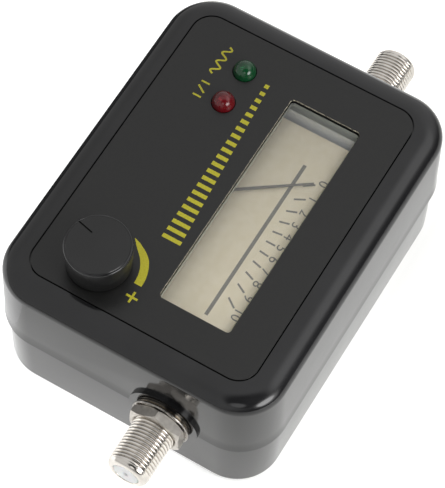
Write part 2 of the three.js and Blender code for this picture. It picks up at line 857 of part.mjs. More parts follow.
function circuitBoard(materials) {
  const board = cut(
    prism(roundedOutline(boardHalfX, boardHalfY, boardCorner), boardBottom, boardTop),
    posts(boardHoleRadius, boardBottom - overcut, boardTop + overcut),
  );
  const seat = boardTop + seatGap;
  const chip = cut(
    block(-chipLength / 2, chipLength / 2, -chipWidth / 2, chipWidth / 2, 0, chipHeight),
    rod(chipNotch, chipHeight - chipNotch / 2, chipHeight + overcut, -chipLength / 2, 0, smallSteps),
  );
  const [round, flat, tall] = [regulatorRadius, regulatorFlat, regulatorHeight];
  const regulator = cut(rod(round, 0, tall), block(-round, round, -round, -flat, -overcut, tall + overcut));
  const choke = turned([
    [0, 0],
    [chokeRadius, 0],
    [chokeRadius, chokeRim],
    [chokeWaist, chokeRim],
    [chokeWaist, chokeHeight - chokeRim],
    [chokeRadius, chokeHeight - chokeRim],
    [chokeRadius, chokeHeight],
    [0, chokeHeight],
  ]);
  const soundHole = pin(buzzerHoleRadius, -buzzerHeight - overcut, buzzerHoleDepth - buzzerHeight);
  const buzzer = cut(rod(buzzerRadius, -buzzerHeight, 0), soundHole);
  const capacitorTall = rod(capacitorTallRadius, 0, capacitorTallHeight);
  const capacitorShort = rod(capacitorShortRadius, 0, capacitorShortHeight);
  const under = boardBottom - seatGap;
  return [
    mesh('circuit_board', board, materials.board),
    placed('amplifier_chip', chip, [chipX, chipY, seat], materials.epoxy),
    placed('voltage_regulator', regulator, [regulatorX, regulatorY, seat], materials.epoxy),
    placed('capacitor_tall', capacitorTall, [capacitorTallX, capacitorTallY, seat], materials.sleeve),
    placed('capacitor_short', capacitorShort, [capacitorShortX, capacitorShortY, seat], materials.sleeve),
    placed('choke', choke, [chokeX, chokeY, seat], materials.ferrite),
    placed('buzzer', buzzer, [buzzerX, buzzerY, under], materials.knob),
  ];
}

// Plan of the meter, seen from above and measured from the pivot: a wide dial chamber
// with a narrow chamber for the movement behind it.
function meterPlan(inset) {
  const [front, back] = [meterFront - pivotY - inset, meterBack - pivotY + inset];
  const [wide, narrow] = [meterHalfLength - inset, movementHalfWidth - inset];
  const rear = movementBack - pivotY + inset;
  return [
    [wide, back], [wide, front], [-wide, front], [-wide, back],
    [-narrow, back], [-narrow, rear], [narrow, rear], [narrow, back],
  ];
}

function meterCover(material) {
  const [halfX, halfY] = [windowLength / 2 - lensGap, windowWidth / 2 - lensGap];
  const corner = windowCorner - lensGap;
  const lensOutline = roundedOutline(halfX, halfY, corner, windowX - pivotX, windowY - pivotY);
  const body = cut(
    joined(
      prism(meterPlan(0), coverFoot, meterTop),
      prism(lensOutline, coverUnder, meterTop + lensRise),
    ),
    prism(meterPlan(meterWall), coverFoot - overcut, coverUnder),
  );
  return mesh('meter_cover', body, material);
}

function meterBase(material) {
  const tray = cut(
    prism(meterPlan(0), meterBottom, coverFoot - seatGap),
    prism(meterPlan(meterWall), movementFloor, coverFoot),
  );
  const root = movementFloor - baseFloor / 2;
  const dialUnder = dialTop - dialThickness - seatGap;
  const reach = (yokeInner + yokeOuter) / 2;
  const half = pillarWidth / 2;
  const pillars = bothEnds((side) => {
    const y = side * reach;
    return block(-half, half, y - half, y + half, root, strapFoot - seatGap);
  });
  const posted = joined(tray, dialPlaces(dialPostRadius, root, dialUnder), pillars);
  const jewelHole = pin(jewelRadius + seatGap, meterBottom - overcut, movementFloor + overcut);
  const bore = dialScrewRadius + seatGap;
  const screwHoles = dialPlaces(bore, dialUnder - dialScrewLength, dialUnder + overcut);
  return mesh('meter_base', cut(posted, jewelHole, screwHoles), material);
}

function dialPlaces(radius, z0, z1) {
  return bothEnds((side) => pin(radius, z0, z1).translate([side * dialPostX, dialPostY - pivotY, 0]));
}

function dialPlate(material) {
  const half = dialHalfLength;
  const inset = meterWall + dialEdgeGap;
  const [front, back] = [meterFront - inset - pivotY, meterBack + inset - pivotY];
  const dialUnder = dialTop - dialThickness;
  const plate = block(-half, half, back, front, dialUnder, dialTop);
  const holes = dialPlaces(dialScrewRadius + seatGap, dialUnder - overcut, dialTop + overcut);
  return mesh('dial_plate', cut(plate, holes), material);
}

function dialScrew(name, side, material) {
  const shank = dialScrewLength - dialScrewHeadHeight;
  const body = turned([
    [0, -shank],
    [dialScrewRadius, -shank],
    [dialScrewRadius, seatGap],
    [dialScrewHeadRadius, seatGap],
    [dialScrewHeadRadius, dialScrewHeadHeight],
    [0, dialScrewHeadHeight],
  ], smallSteps);
  return placed(name, body, [side * dialPostX, dialPostY - pivotY, dialTop], material);
}

function pointer(material) {
  const [root, tip, tail] = [pointerRootWidth / 2, pointerTipWidth / 2, pointerTailWidth / 2];
  const blade = prism([
    [root, 0],
    [tip, pointerLength],
    [-tip, pointerLength],
    [-root, 0],
    [-tail, -pointerTail],
    [tail, -pointerTail],
  ], pointerBottom, pointerTop);
  const hubFoot = pointerBottom - pointerHubDrop;
  const hub = pin(pointerHubRadius, hubFoot, pointerTop);
  const bore = pin(staffRadius + seatGap, hubFoot - overcut, pointerTop + overcut);
  return mesh('pointer', cut(joined(blade, hub), bore), material);
}

function rectangleLoop(halfWidth, bar, thickness, z0, z1) {
  const half = thickness / 2;
  return cut(
    block(-halfWidth, halfWidth, -half, half, z0, z1),
    block(-halfWidth + bar, halfWidth - bar, -thickness, thickness, z0 + bar, z1 - bar),
  );
}

// The coil, its two pivots and the pointer turn together about the pivot.
function movingCoil(materials) {
  const group = new THREE.Group();
  group.rotation.z = THREE.MathUtils.degToRad(halfSweep);
  const inner = coilWire + seatGap;
  const [foot, head] = [coilBottom + inner, coilTop - inner];
  const former = rectangleLoop(coilHalfWidth - inner, coilBar, coilThickness, foot, head);
  const winding = rectangleLoop(coilHalfWidth, coilWire, coilThickness, coilBottom, coilTop);
  const topStaff = pin(staffRadius, coilTop + seatGap, pointerTop + seatGap);
  const bottomStaff = pin(staffRadius, movementFloor + seatGap * 2, coilBottom - seatGap);
  group.add(mesh('coil_former', former, materials.aluminium));
  group.add(mesh('coil_winding', winding, materials.copper));
  group.add(mesh('pivot_top', topStaff, materials.steel));
  group.add(mesh('pivot_bottom', bottomStaff, materials.steel));
  group.add(pointer(materials.pointer));
  return group;
}

function hairspring(name, z0, turnWay, material) {
  const line = [];
  const count = Math.round(springTurns * springSteps);
  for (let i = 0; i <= count; i += 1) {
    const turnsDone = i / springSteps;
    const angle = turnWay * turnsDone * Math.PI * 2;
    const radius = springInner + springPitch * turnsDone;
    line.push([radius * Math.cos(angle), radius * Math.sin(angle)]);
  }
  const offset = (way) => line.map(([x, y]) => {
    const scale = 1 + way * springThickness / 2 / Math.hypot(x, y);
    return [x * scale, y * scale];
  });
  return mesh(name, prism([...offset(1), ...offset(-1).reverse()], z0, z0 + springHeight), material);
}

function meterMovement(materials) {
  const strapTop = strapFoot + strapThickness;
  const ironFoot = strapTop + seatGap;
  const ironTop = coilTop - coilWire - coilBar - coilGap;
  const half = strapWidth / 2;
  const strap = block(-half, half, -yokeOuter, yokeOuter, strapFoot, strapTop);
  const magnet = rod(magnetRadius, ironFoot, ironTop);
  const yoke = ring(yokeOuter, yokeInner, ironFoot, ironTop);
  const bridgeFoot = pointerTop + seatGap * 3;
  const bridgeTop = bridgeFoot + bridgeThickness;
  const span = bridgeWidth / 2;
  const legs = cut(
    block(-yokeOuter, yokeOuter, -span, span, ironTop + seatGap, bridgeTop),
    block(-yokeInner, yokeInner, -bridgeWidth, bridgeWidth, ironTop, bridgeFoot),
  );
  const bridge = cut(legs, pin(jewelRadius + seatGap, bridgeFoot - overcut, bridgeTop + overcut));
  const topJewel = pin(jewelRadius, pointerTop + seatGap * 2, bridgeTop);
  const bottomJewel = pin(jewelRadius, meterBottom + seatGap, movementFloor + seatGap);
  return [
    mesh('magnet_strap', strap, materials.brass),
    mesh('core_magnet', magnet, materials.magnet),
    mesh('yoke_ring', yoke, materials.iron),
    mesh('bridge', bridge, materials.brass),
    mesh('jewel_screw_top', topJewel, materials.brass),
    mesh('jewel_screw_bottom', bottomJewel, materials.brass),
    hairspring('hairspring_top', coilTop + seatGap * 2, 1, materials.bronze),
    hairspring('hairspring_bottom', coilBottom - seatGap * 2 - springHeight, -1, materials.bronze),
  ];
}

function pointerMeter(materials) {
  const group = new THREE.Group();
  group.position.set(pivotX, pivotY, 0);
  group.add(
    meterCover(materials.clear),
    meterBase(materials.meterBody),
    dialPlate(materials.dial),
    dialScrew('dial_screw_left', -1, materials.brass),
    dialScrew('dial_screw_right', 1, materials.brass),
    ...meterMovement(materials),
    movingCoil(materials),
  );
  [-1, 1].forEach((side) => {
    const name = side < 0 ? 'meter_terminal_left' : 'meter_terminal_right';
    const terminal = pin(meterTerminalRadius, boardTop + seatGap, meterBottom - seatGap);
    group.add(placed(name, terminal, [side * meterTerminalX, meterTerminalY, 0], materials.tin));
  });
  return group;
}

function finish(color, roughness, metalness = 0, opacity = 1) {
  return new THREE.MeshStandardMaterial({ color, roughness, metalness, opacity, transparent: opacity < 1 });
}

const materials = {
  shell: finish(0x232323, 0.2),
  label: finish(0x343434, 0.55),
  knob: finish(0x2b2b2b, 0.4),
  clear: finish(0xe8eef0, 0.05, 0, 0.25),
  meterBody: finish(0xcfc9b8, 0.5),
  dial: finish(0xd8cfb4, 0.6),
  pointer: finish(0x66635c, 0.5, 0.3),
  nickel: finish(0xc9c4bd, 0.25, 1),
  steel: finish(0x9a9a9a, 0.35, 1),
  tin: finish(0xb5b8ba, 0.3, 1),
  brass: finish(0xb9964f, 0.35, 1),
  copper: finish(0xb06a3f, 0.35, 1),
  bronze: finish(0x9c7440, 0.3, 1),
  aluminium: finish(0xc4c6c8, 0.4, 1),
  magnet: finish(0x5d5d60, 0.45, 1),
  iron: finish(0x55534f, 0.6, 1),
  insulator: finish(0xeef0f0, 0.35),
  phenolic: finish(0x7a5230, 0.6),
  shaft: finish(0xbfbfbd, 0.4),
  board: finish(0x2c5a34, 0.5),
  epoxy: finish(0x1c1c1e, 0.55),
  sleeve: finish(0x20283c, 0.4),
  ferrite: finish(0x3b3a3a, 0.7),
  greenLens: finish(0x1f7a42, 0.1, 0, 0.9),
  redLens: finish(0x8e1f26, 0.1, 0, 0.9),
};

const meter = new THREE.Group();
meter.add(
  upperShell(materials.shell),
  lowerShell(materials.shell),
  faceLabel(materials.label),
  ...postPlaces().map(([x, y], i) => caseScrew(`case_screw_${i + 1}`, x, y, materials.steel)),
  lamp('green_lamp', greenLampX, materials.greenLens, materials.tin),
  lamp('red_lamp', redLampX, materials.redLens, materials.tin),
  levelControl(materials),
  ...connector(1, materials),
  ...connector(-1, materials),
  ...circuitBoard(materials),
  pointerMeter(materials),
);

export default meter;
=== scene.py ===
# Handheld satellite signal meter, dressed over its CAD frame.
# Shapes are drawn in millimetres and turned to metres when a piece is finished.

import math

import bmesh
import bpy
from mathutils import Matrix, Vector


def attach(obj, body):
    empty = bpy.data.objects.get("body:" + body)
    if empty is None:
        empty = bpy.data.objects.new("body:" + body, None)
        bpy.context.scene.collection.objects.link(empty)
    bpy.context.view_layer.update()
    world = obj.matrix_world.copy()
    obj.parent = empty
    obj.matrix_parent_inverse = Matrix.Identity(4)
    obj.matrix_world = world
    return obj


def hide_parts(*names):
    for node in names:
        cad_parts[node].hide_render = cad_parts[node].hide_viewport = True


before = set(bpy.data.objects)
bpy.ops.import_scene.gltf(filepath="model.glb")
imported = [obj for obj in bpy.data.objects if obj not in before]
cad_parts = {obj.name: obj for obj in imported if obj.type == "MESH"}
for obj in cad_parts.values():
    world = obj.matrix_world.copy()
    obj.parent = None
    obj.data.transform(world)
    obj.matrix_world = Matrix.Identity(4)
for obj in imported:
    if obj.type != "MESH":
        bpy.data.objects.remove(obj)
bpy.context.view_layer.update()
scene = bpy.context.scene
mm = 0.001
print("frame loaded:", len(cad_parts), "nodes")


def linear(hexColour):
    parts = [int(hexColour[i : i + 2], 16) / 255 for i in (1, 3, 5)]
    return tuple(c / 12.92 if c <= 0.04045 else ((c + 0.055) / 1.055) ** 2.4 for c in parts) + (1.0,)


def addNode(tree, kind, settings=None, links=None):
    node = tree.nodes.new(kind)
    for key, value in (settings or {}).items():
        if isinstance(key, str) and hasattr(node, key):
            setattr(node, key, value)
        else:
            node.inputs[key].default_value = value
    for key, source in (links or {}).items():
        tree.links.new(source, node.inputs[key])
    return node


def addObject(name, data):
    added = bpy.data.objects.new(name, data)
    scene.collection.objects.link(added)
    return added


def newMaterial(name, values=None):
    material = bpy.data.materials.new(name)
    material.use_nodes = True
    tree = material.node_tree
    shader = tree.nodes["Principled BSDF"]
    for socket, value in (values or {}).items():
        shader.inputs[socket].default_value = value
    return material, tree, shader, addNode(tree, "ShaderNodeTexCoord").outputs["Object"]


# camera
cameraSettings = {
    "place": (227.18, 121.12, 494.31),  # mm, solved from the face, the window and the connector
    "right": (-0.5074, 0.8614, 0.0222),
    "up": (-0.7539, -0.4563, 0.4728),
    "back": (0.4174, 0.2232, 0.8809),
    "lens": 186.0, "sensor": 36, "clip": (0.01, 20),
}


def makeCamera(s):
    data = bpy.data.cameras.new("camera")
    data.lens, data.sensor_width = s["lens"], s["sensor"]
    data.clip_start, data.clip_end = s["clip"]
    camera = addObject("camera", data)
    axes = Matrix((s["right"], s["up"], s["back"])).transposed().to_4x4()
    camera.matrix_world = Matrix.Translation(Vector(s["place"]) * mm) @ axes
    scene.camera = camera


makeCamera(cameraSettings)
print("camera placed")


# stage and light
stageSettings = {
    "floor": {"half": 1500, "drop": 0.05, "colour": "#e6e6e4", "roughness": 0.6},  # mm
    # the floor shines like an opal light table: its light falls off along Object Y, then along Object X,
    # and fades out round a middle, in metres; the falloffs are painted shade for the walls' gloss
    "glow": [
        {"from": 0.0, "to": 0.034, "near": 0.9, "far": 0.1},
        {"from": 0.043, "to": 0.06, "near": 1.02, "far": 0.6},
    ],
    "glowEdge": {"middle": (-0.045, -0.03, 0), "from": 0.125, "to": 0.3},
    # card sheets beside the object, out of the camera's sight, rising outwards: they darken the gloss
    # of its -Y rim; each is near and far y, first and last x, in mm
    "card": {
        "sheets": ((-37, -240, -62, 110), (-80, -240, -150, -62)), "heights": (0.2, 45),
        "colour": "#505052", "roughness": 0.8,
        "glowFrom": 0.004, "glowTo": 0.045, "light": 1.5,  # its glow rises from none to this light along X, in metres
    },
    "room": 0.72,
    "roomSeen": 0.93,  # its level where the camera sees it
    # flats round the object: middle and half-size on the unit sphere, brightness and softness
    "flats": [
        {"middle": (-1.0, 0.0, 0.4), "half": (0.5, 0.6, 0.8), "value": 0.88, "soft": 0.4},
        {"middle": (-0.4, -0.8, 0.4), "half": (0.35, 0.35, 0.35), "value": 0.62, "soft": 0.5},
        {"middle": (0.0, 0.9, 0.0), "half": (1.3, 0.95, 0.5), "value": 0.08, "soft": 0.35},
        {"middle": (0.4, 0.42, 0.82), "half": (0.52, 0.52, 0.52), "value": 0.05, "soft": 0.25},
        {"middle": (0.66, 0.31, 0.68), "half": (0.2, 0.2, 0.17), "value": 1.2, "soft": 0.3},
        {"middle": (-0.5, 0.48, 0.72), "half": (0.33, 0.33, 0.19), "value": 1.4, "soft": 0.5},
    ],
    # softboxes that only the gloss sees
    "glints": [
        {"middle": (0.14, 0.9, 0.41), "half": (0.36, 0.36, 0.27), "value": 2.1, "soft": 0.4},
        {"middle": (0.2, 0.87, 0.45), "half": (0.28, 0.2, 0.2), "value": 7.0, "soft": 0.12},
    ],
    # a softbox beyond the +Y side and a diffuser above it, both kept out of the gloss: degrees, mm and W
    "lights": {
        "keySoftbox": {"azimuth": 81, "height": 24, "distance": 430, "size": (330, 240), "power": 1.9},
        "fillDiffuser": {"azimuth": 73, "height": 48, "distance": 104, "size": (80, 80), "power": 0.06},
    },
    "aim": 20,  # mm above the floor
}


def makeLight(name, s, aim):
    data = bpy.data.lights.new(name, "AREA")
    data.shape = "ELLIPSE"
    data.size, data.size_y = s["size"][0] * mm, s["size"][1] * mm
    data.energy = s["power"]
    light = addObject(name, data)
    turn, rise = math.radians(s["azimuth"]), math.radians(s["height"])
    away = Vector((math.cos(turn) * math.cos(rise), math.sin(turn) * math.cos(rise), math.sin(rise)))
    light.location = away * s["distance"] * mm + Vector((0, 0, aim * mm))
    light.rotation_euler = away.to_track_quat("Z", "Y").to_euler()
    light.visible_glossy = False


# four-cornered sheets of the stage, in a material that can shine by itself
def stageSheets(name, materialName, corners, s):
    material, tree, shader, place = newMaterial(materialName, {
        "Base Color": linear(s["colour"]), "Roughness": s["roughness"], "Emission Color": (1, 1, 1, 1)})
    mesh = bpy.data.meshes.new(name)
    faces = [range(i, i + 4) for i in range(0, len(corners), 4)]
    mesh.from_pydata([[value * mm for value in corner] for corner in corners], [], faces)
    mesh.materials.append(material)
    sheets = addObject(name, mesh)
    return sheets, tree, shader.inputs["Emission Strength"], place


def makeFloor(s, glow, glowEdge):
    half, low = s["half"], -s["drop"]
    corners = [(-half, -half, low), (half, -half, low), (half, half, low), (-half, half, low)]
    # cast acrylic sheet: white and matt, shining by itself; its uneven glow is painted shade
    tree, strength, place = stageSheets("floor", "opal acrylic", corners, s)[1:]
    parts = addNode(tree, "ShaderNodeSeparateXYZ", None, {"Vector": place})
    glows = [addNode(tree, "ShaderNodeMapRange", {
        "From Min": fall["from"], "From Max": fall["to"], "To Min": fall["near"], "To Max": fall["far"],
    }, {"Value": parts.outputs[axis]}).outputs["Result"] for axis, fall in zip("YX", glow)]
    both = addNode(tree, "ShaderNodeMath", {"operation": "MULTIPLY"}, {0: glows[0], 1: glows[1]})
    reach = addNode(tree, "ShaderNodeVectorMath", {"operation": "DISTANCE", 1: glowEdge["middle"]},
                    {0: place})
    edge = addNode(tree, "ShaderNodeMapRange", {
        "interpolation_type": "SMOOTHSTEP", "From Min": glowEdge["from"], "From Max": glowEdge["to"],
        "To Min": 1.0, "To Max": 0.0,
    }, {"Value": reach.outputs["Value"]})
    lit = addNode(tree, "ShaderNodeMath", {"operation": "MULTIPLY"},
                  {0: both.outputs[0], 1: edge.outputs["Result"]})
    tree.links.new(lit.outputs[0], strength)


def makeCard(s):
    low, high = s["heights"]
    corners = []
    for near, far, first, last in s["sheets"]:
        corners += [(first, near, low), (last, near, low), (last, far, high), (first, far, high)]
    # a card that shines by itself: matt and dark, its glow rising towards +X; a painted reflection for the
    # gloss
    card, tree, strength, place = stageSheets("card", "glowing card", corners, s)
    card.visible_camera = card.visible_diffuse = card.visible_shadow = card.visible_transmission = False
    aside = addNode(tree, "ShaderNodeSeparateXYZ", None, {"Vector": place}).outputs["X"]
    light = addNode(tree, "ShaderNodeMapRange", {
        "From Min": s["glowFrom"], "From Max": s["glowTo"], "To Max": s["light"],
    }, {"Value": aside})
    tree.links.new(light.outputs["Result"], strength)


def hangFlats(tree, flats, toward, sky):
    for flat in flats:
        away = addNode(tree, "ShaderNodeVectorMath", {"operation": "SUBTRACT", 1: flat["middle"]},
                       {0: toward})
        scaled = addNode(tree, "ShaderNodeVectorMath", {"operation": "DIVIDE", 1: flat["half"]},
                         {0: away.outputs[0]})
        reach = addNode(tree, "ShaderNodeVectorMath", {"operation": "LENGTH"}, {0: scaled.outputs[0]})
        sky = addNode(tree, "ShaderNodeMapRange", {
            "interpolation_type": "SMOOTHSTEP", "From Min": 1 - flat["soft"], "From Max": 1 + flat["soft"],
            "To Min": flat["value"],
        }, {"Value": reach.outputs["Value"], "To Max": sky}).outputs["Result"]
    return sky


def makeRoom(s):
    world = bpy.data.worlds.new("studio")
    world.use_nodes = True
    scene.world = world
    tree = world.node_tree
    rays = addNode(tree, "ShaderNodeLightPath").outputs
    toward = addNode(tree, "ShaderNodeTexCoord").outputs["Generated"]
    room = addNode(tree, "ShaderNodeValue")
    room.outputs[0].default_value = s["room"]
    plain = hangFlats(tree, s["flats"], toward, room.outputs[0])
    glossy = hangFlats(tree, s["glints"], toward, plain)
    sky = addNode(tree, "ShaderNodeMapRange", None,
                  {"Value": rays["Is Glossy Ray"], "To Min": plain, "To Max": glossy})
    level = addNode(tree, "ShaderNodeMapRange", {"To Max": s["roomSeen"]},
                    {"Value": rays["Is Camera Ray"], "To Min": sky.outputs["Result"]})
    background = tree.nodes["Background"].inputs
    tree.links.new(level.outputs["Result"], background["Strength"])
    background["Color"].default_value = (1, 1, 1, 1)
    scene.view_settings.view_transform = "Standard"


makeFloor(stageSettings["floor"], stageSettings["glow"], stageSettings["glowEdge"])
makeCard(stageSettings["card"])
makeRoom(stageSettings)
for name, s in stageSettings["lights"].items():
    makeLight(name, s, stageSettings["aim"])
print("stage lit")


# materials
# how fine each pattern's noise is, and the part of it that is spread over the pattern's whole range
patternSettings = {
    "toneDetail": 4.0, "rubDetail": 3.0, "grainDetail": 2.0,
    "tone": (0.35, 0.65), "rub": (0.35, 0.7),
}


# the roughness goes from low to high with a noise
def roughen(tree, shader, noise, roughness, part=(0.0, 1.0)):
    rough = addNode(tree, "ShaderNodeMapRange", {
        "From Min": part[0], "From Max": part[1], "To Min": roughness[0], "To Max": roughness[1],
    }, {"Value": noise})
    tree.links.new(rough.outputs["Result"], shader.inputs["Roughness"])


# sizes in mm: tone is the colour's mottle, rub the roughness's and grain the bump's
def makeSurface(name, s, p):
    material, tree, shader, place = newMaterial(name, s.get("shader"))
    drawn = addNode(tree, "ShaderNodeMapping", {"Scale": s.get("stretch", (1, 1, 1))}, {"Vector": place})
    tone, rub, grain = [addNode(tree, "ShaderNodeTexNoise", {
        "Scale": 1000 / s[f"{pattern}Size"], "Detail": p[f"{pattern}Detail"],
    }, {"Vector": drawn.outputs["Vector"]}).outputs["Fac"] for pattern in ("tone", "rub", "grain")]
    low, high = p["tone"]
    spread = addNode(tree, "ShaderNodeMapRange", {"From Min": low, "From Max": high}, {"Value": tone})
    dark, light = s["colours"]
    colour = addNode(tree, "ShaderNodeMix", {"data_type": "RGBA", 6: linear(dark), 7: linear(light)},
                     {0: spread.outputs["Result"]})
    tree.links.new(colour.outputs[2], shader.inputs["Base Color"])
    roughen(tree, shader, rub, s["roughness"], p["rub"])
    bump = addNode(tree, "ShaderNodeBump", {"Strength": 1.0, "Distance": s["grainHeight"] * mm},
                   {"Height": grain})
    tree.links.new(bump.outputs["Normal"], shader.inputs["Normal"])
    return material


surfaces = {
    # injection-moulded ABS from a polished tool: black, wet-looking, faintly wavy
    "gloss moulded ABS": {
        "colours": ("#101011", "#151516"), "toneSize": 9, "roughness": (0.09, 0.15), "rubSize": 5,
        "grainSize": 1.3, "grainHeight": 0.002, "shader": {"IOR": 1.53},
    },
    # the same plastic from a spark-eroded tool: satin
    "satin moulded ABS": {
        "colours": ("#101010", "#151515"), "toneSize": 6, "roughness": (0.38, 0.48), "rubSize": 3,
        "grainSize": 0.3, "grainHeight": 0.004, "shader": {"IOR": 1.53},
    },
    # screen-printed polycarbonate film: matt charcoal with a fine tooth
    "printed polycarbonate film": {
        "colours": ("#101010", "#141413"), "toneSize": 0.5, "roughness": (0.32, 0.38), "rubSize": 8,
        "grainSize": 0.16, "grainHeight": 0.002, "shader": {"IOR": 1.5},
    },
    # the same film where it is punched: its milky core shows, torn and dirty in spots
    "cut polycarbonate edge": {
        "colours": ("#201f1b", "#b9b19c"), "toneSize": 0.4, "roughness": (0.35, 0.5), "rubSize": 0.6,
        "grainSize": 0.12, "grainHeight": 0.01, "shader": {"IOR": 1.5},
    },
    # screen ink: flat, a little raised, thinner in spots
    "yellow screen ink": {
        "colours": ("#918a16", "#9d9724"), "toneSize": 0.35, "roughness": (0.45, 0.6), "rubSize": 1,
        "grainSize": 0.12, "grainHeight": 0.004, "shader": {"IOR": 1.5},
    },
    # nickel plate on turned brass: bright and warm, with the tool's rings round it
    "nickel-plated turned brass": {
        "colours": ("#d3cec7", "#e2ddd6"), "toneSize": 0.9, "roughness": (0.13, 0.21), "rubSize": 0.6,
        "stretch": (1, 0.12, 0.12), "grainSize": 0.12, "grainHeight": 0.0015, "shader": {"Metallic": 1.0},
    },
    # the same plate on a pressed nut: duller, mottled by its blank
    "nickel-plated pressed brass": {
        "colours": ("#bbb6af", "#cbc6bf"), "toneSize": 1.1, "roughness": (0.34, 0.46), "rubSize": 0.8,
        "grainSize": 0.5, "grainHeight": 0.0012, "shader": {"Metallic": 1.0},
    },
    # zinc plate on pressed steel: greyer, with a soft mottle
    "zinc-plated steel": {
        "colours": ("#8f8b86", "#aaa6a0"), "toneSize": 0.8, "roughness": (0.24, 0.4), "rubSize": 0.7,
        "grainSize": 0.25, "grainHeight": 0.002, "shader": {"Metallic": 1.0},
    },
    # hardened spring steel: grey-brown, bright where it was ground
    "hardened spring steel": {
        "colours": ("#a29a90", "#c0b8ac"), "toneSize": 0.6, "roughness": (0.12, 0.22), "rubSize": 0.6,
        "grainSize": 0.3, "grainHeight": 0.003, "shader": {"Metallic": 1.0},
    },
    # moulded polyethylene: milky, slightly waxy
    "moulded polyethylene": {
        "colours": ("#dcddde", "#e6e7e7"), "toneSize": 1.2, "roughness": (0.3, 0.42), "rubSize": 1,
        "grainSize": 0.3, "grainHeight": 0.002, "shader": {"IOR": 1.51, "Subsurface Weight": 0.15,
                                                           "Subsurface Scale": 0.0006},
    },
    # baked enamel on an aluminium plate: cream, even, with a fine tooth
    "cream dial enamel": {
        "colours": ("#f2e2c3", "#f8e9ce"), "toneSize": 2.2, "roughness": (0.45, 0.55), "rubSize": 4,
        "grainSize": 0.18, "grainHeight": 0.002, "shader": {"IOR": 1.5},
    },
    # pad-printed ink on the dial: grey-brown, thin
    "dial ink": {
        "colours": ("#615a50", "#787064"), "toneSize": 0.3, "roughness": (0.5, 0.6), "rubSize": 1,
        "grainSize": 0.15, "grainHeight": 0.002, "shader": {"IOR": 1.5},
    },
    # aluminium blade under matt grey-brown paint
    "painted aluminium": {
        "colours": ("#5c554c", "#6a6258"), "toneSize": 0.8, "roughness": (0.4, 0.5), "rubSize": 1,
        "grainSize": 0.1, "grainHeight": 0.001, "shader": {"IOR": 1.5},
    },
    # moulded high-impact polystyrene: cream, slightly translucent
    "cream moulded polystyrene": {
        "colours": ("#c9c3b1", "#d3cdbc"), "toneSize": 5, "roughness": (0.35, 0.5), "rubSize": 4,
        "grainSize": 0.5, "grainHeight": 0.004, "shader": {"IOR": 1.59},
    },
    # tinned copper wire: soft, bright, a little uneven
    "tinned copper wire": {
        "colours": ("#a9acae", "#c3c6c8"), "toneSize": 0.6, "roughness": (0.25, 0.4), "rubSize": 0.5,
        "grainSize": 0.3, "grainHeight": 0.004, "shader": {"Metallic": 1.0},
    },
    # paper-based phenolic sheet: brown with a fibrous fleck
    "paper phenolic": {
        "colours": ("#6b4526", "#86592f"), "toneSize": 0.7, "roughness": (0.5, 0.65), "rubSize": 1,
        "grainSize": 0.3, "grainHeight": 0.004, "shader": {"IOR": 1.55},
    },
    # turned aluminium alloy: dull silver, with the tool's rings round it
    "turned aluminium alloy": {
        "colours": ("#b4b4b2", "#c9c9c7"), "toneSize": 1.2, "roughness": (0.3, 0.42), "rubSize": 0.8,
        "stretch": (0.15, 0.15, 1), "grainSize": 0.15, "grainHeight": 0.002, "shader": {"Metallic": 1.0},
    },
    # brass, turned and left bare
    "bare turned brass": {
        "colours": ("#a98845", "#c4a35c"), "toneSize": 0.8, "roughness": (0.25, 0.38), "rubSize": 0.8,
        "grainSize": 0.2, "grainHeight": 0.002, "shader": {"Metallic": 1.0},
    },
    # green solder mask over glass-epoxy laminate: satin, with the weave just felt
    "green solder mask": {
        "colours": ("#1f4f2b", "#2b6438"), "toneSize": 1.4, "roughness": (0.3, 0.42), "rubSize": 2,
        "grainSize": 0.5, "grainHeight": 0.01, "shader": {"IOR": 1.55},
    },
    # transfer-moulded epoxy: matt black with a sandy tooth
    "moulded black epoxy": {
        "colours": ("#161617", "#202022"), "toneSize": 0.8, "roughness": (0.5, 0.65), "rubSize": 1,
        "grainSize": 0.15, "grainHeight": 0.006, "shader": {"IOR": 1.55},
    },
    # shrunk PVC sleeve: dark blue, smooth
    "shrunk PVC sleeve": {
        "colours": ("#171e31", "#202a44"), "toneSize": 2, "roughness": (0.28, 0.4), "rubSize": 2,
        "grainSize": 0.8, "grainHeight": 0.006, "shader": {"IOR": 1.53},
    },
    # sintered ferrite: dark grey, porous
    "sintered ferrite": {
        "colours": ("#2b2b2b", "#3a3938"), "toneSize": 0.4, "roughness": (0.6, 0.75), "rubSize": 0.6,
        "grainSize": 0.2, "grainHeight": 0.01, "shader": {"IOR": 1.8},
    },
    # cast Alnico: grey metal, ground
    "cast Alnico": {
        "colours": ("#55555a", "#68686d"), "toneSize": 0.6, "roughness": (0.4, 0.55), "rubSize": 0.8,
        "grainSize": 0.25, "grainHeight": 0.006, "shader": {"Metallic": 1.0},
    },
    # soft iron: dark, blued by annealing
    "annealed soft iron": {
        "colours": ("#494744", "#5c5955"), "toneSize": 1.5, "roughness": (0.5, 0.65), "rubSize": 1,
        "grainSize": 0.3, "grainHeight": 0.004, "shader": {"Metallic": 1.0},
    },
    # rolled phosphor bronze: warm, smooth
    "phosphor bronze": {
        "colours": ("#8f6a3b", "#a98049"), "toneSize": 0.6, "roughness": (0.25, 0.35), "rubSize": 0.6,
        "grainSize": 0.1, "grainHeight": 0.001, "shader": {"Metallic": 1.0},
    },
    # rolled aluminium: pale, soft sheen
    "rolled aluminium": {
        "colours": ("#b9bbbd", "#cdcfd1"), "toneSize": 1, "roughness": (0.32, 0.45), "rubSize": 1,
        "stretch": (1, 0.1, 1), "grainSize": 0.1, "grainHeight": 0.001, "shader": {"Metallic": 1.0},
    },
    # enamelled copper wire: glossy, red-brown
    "enamelled copper wire": {
        "colours": ("#8d4a26", "#a85f35"), "toneSize": 0.5, "roughness": (0.2, 0.3), "rubSize": 0.5,
        "grainSize": 0.2, "grainHeight": 0.002, "shader": {"Metallic": 1.0, "Coat Weight": 0.6},
    },
}
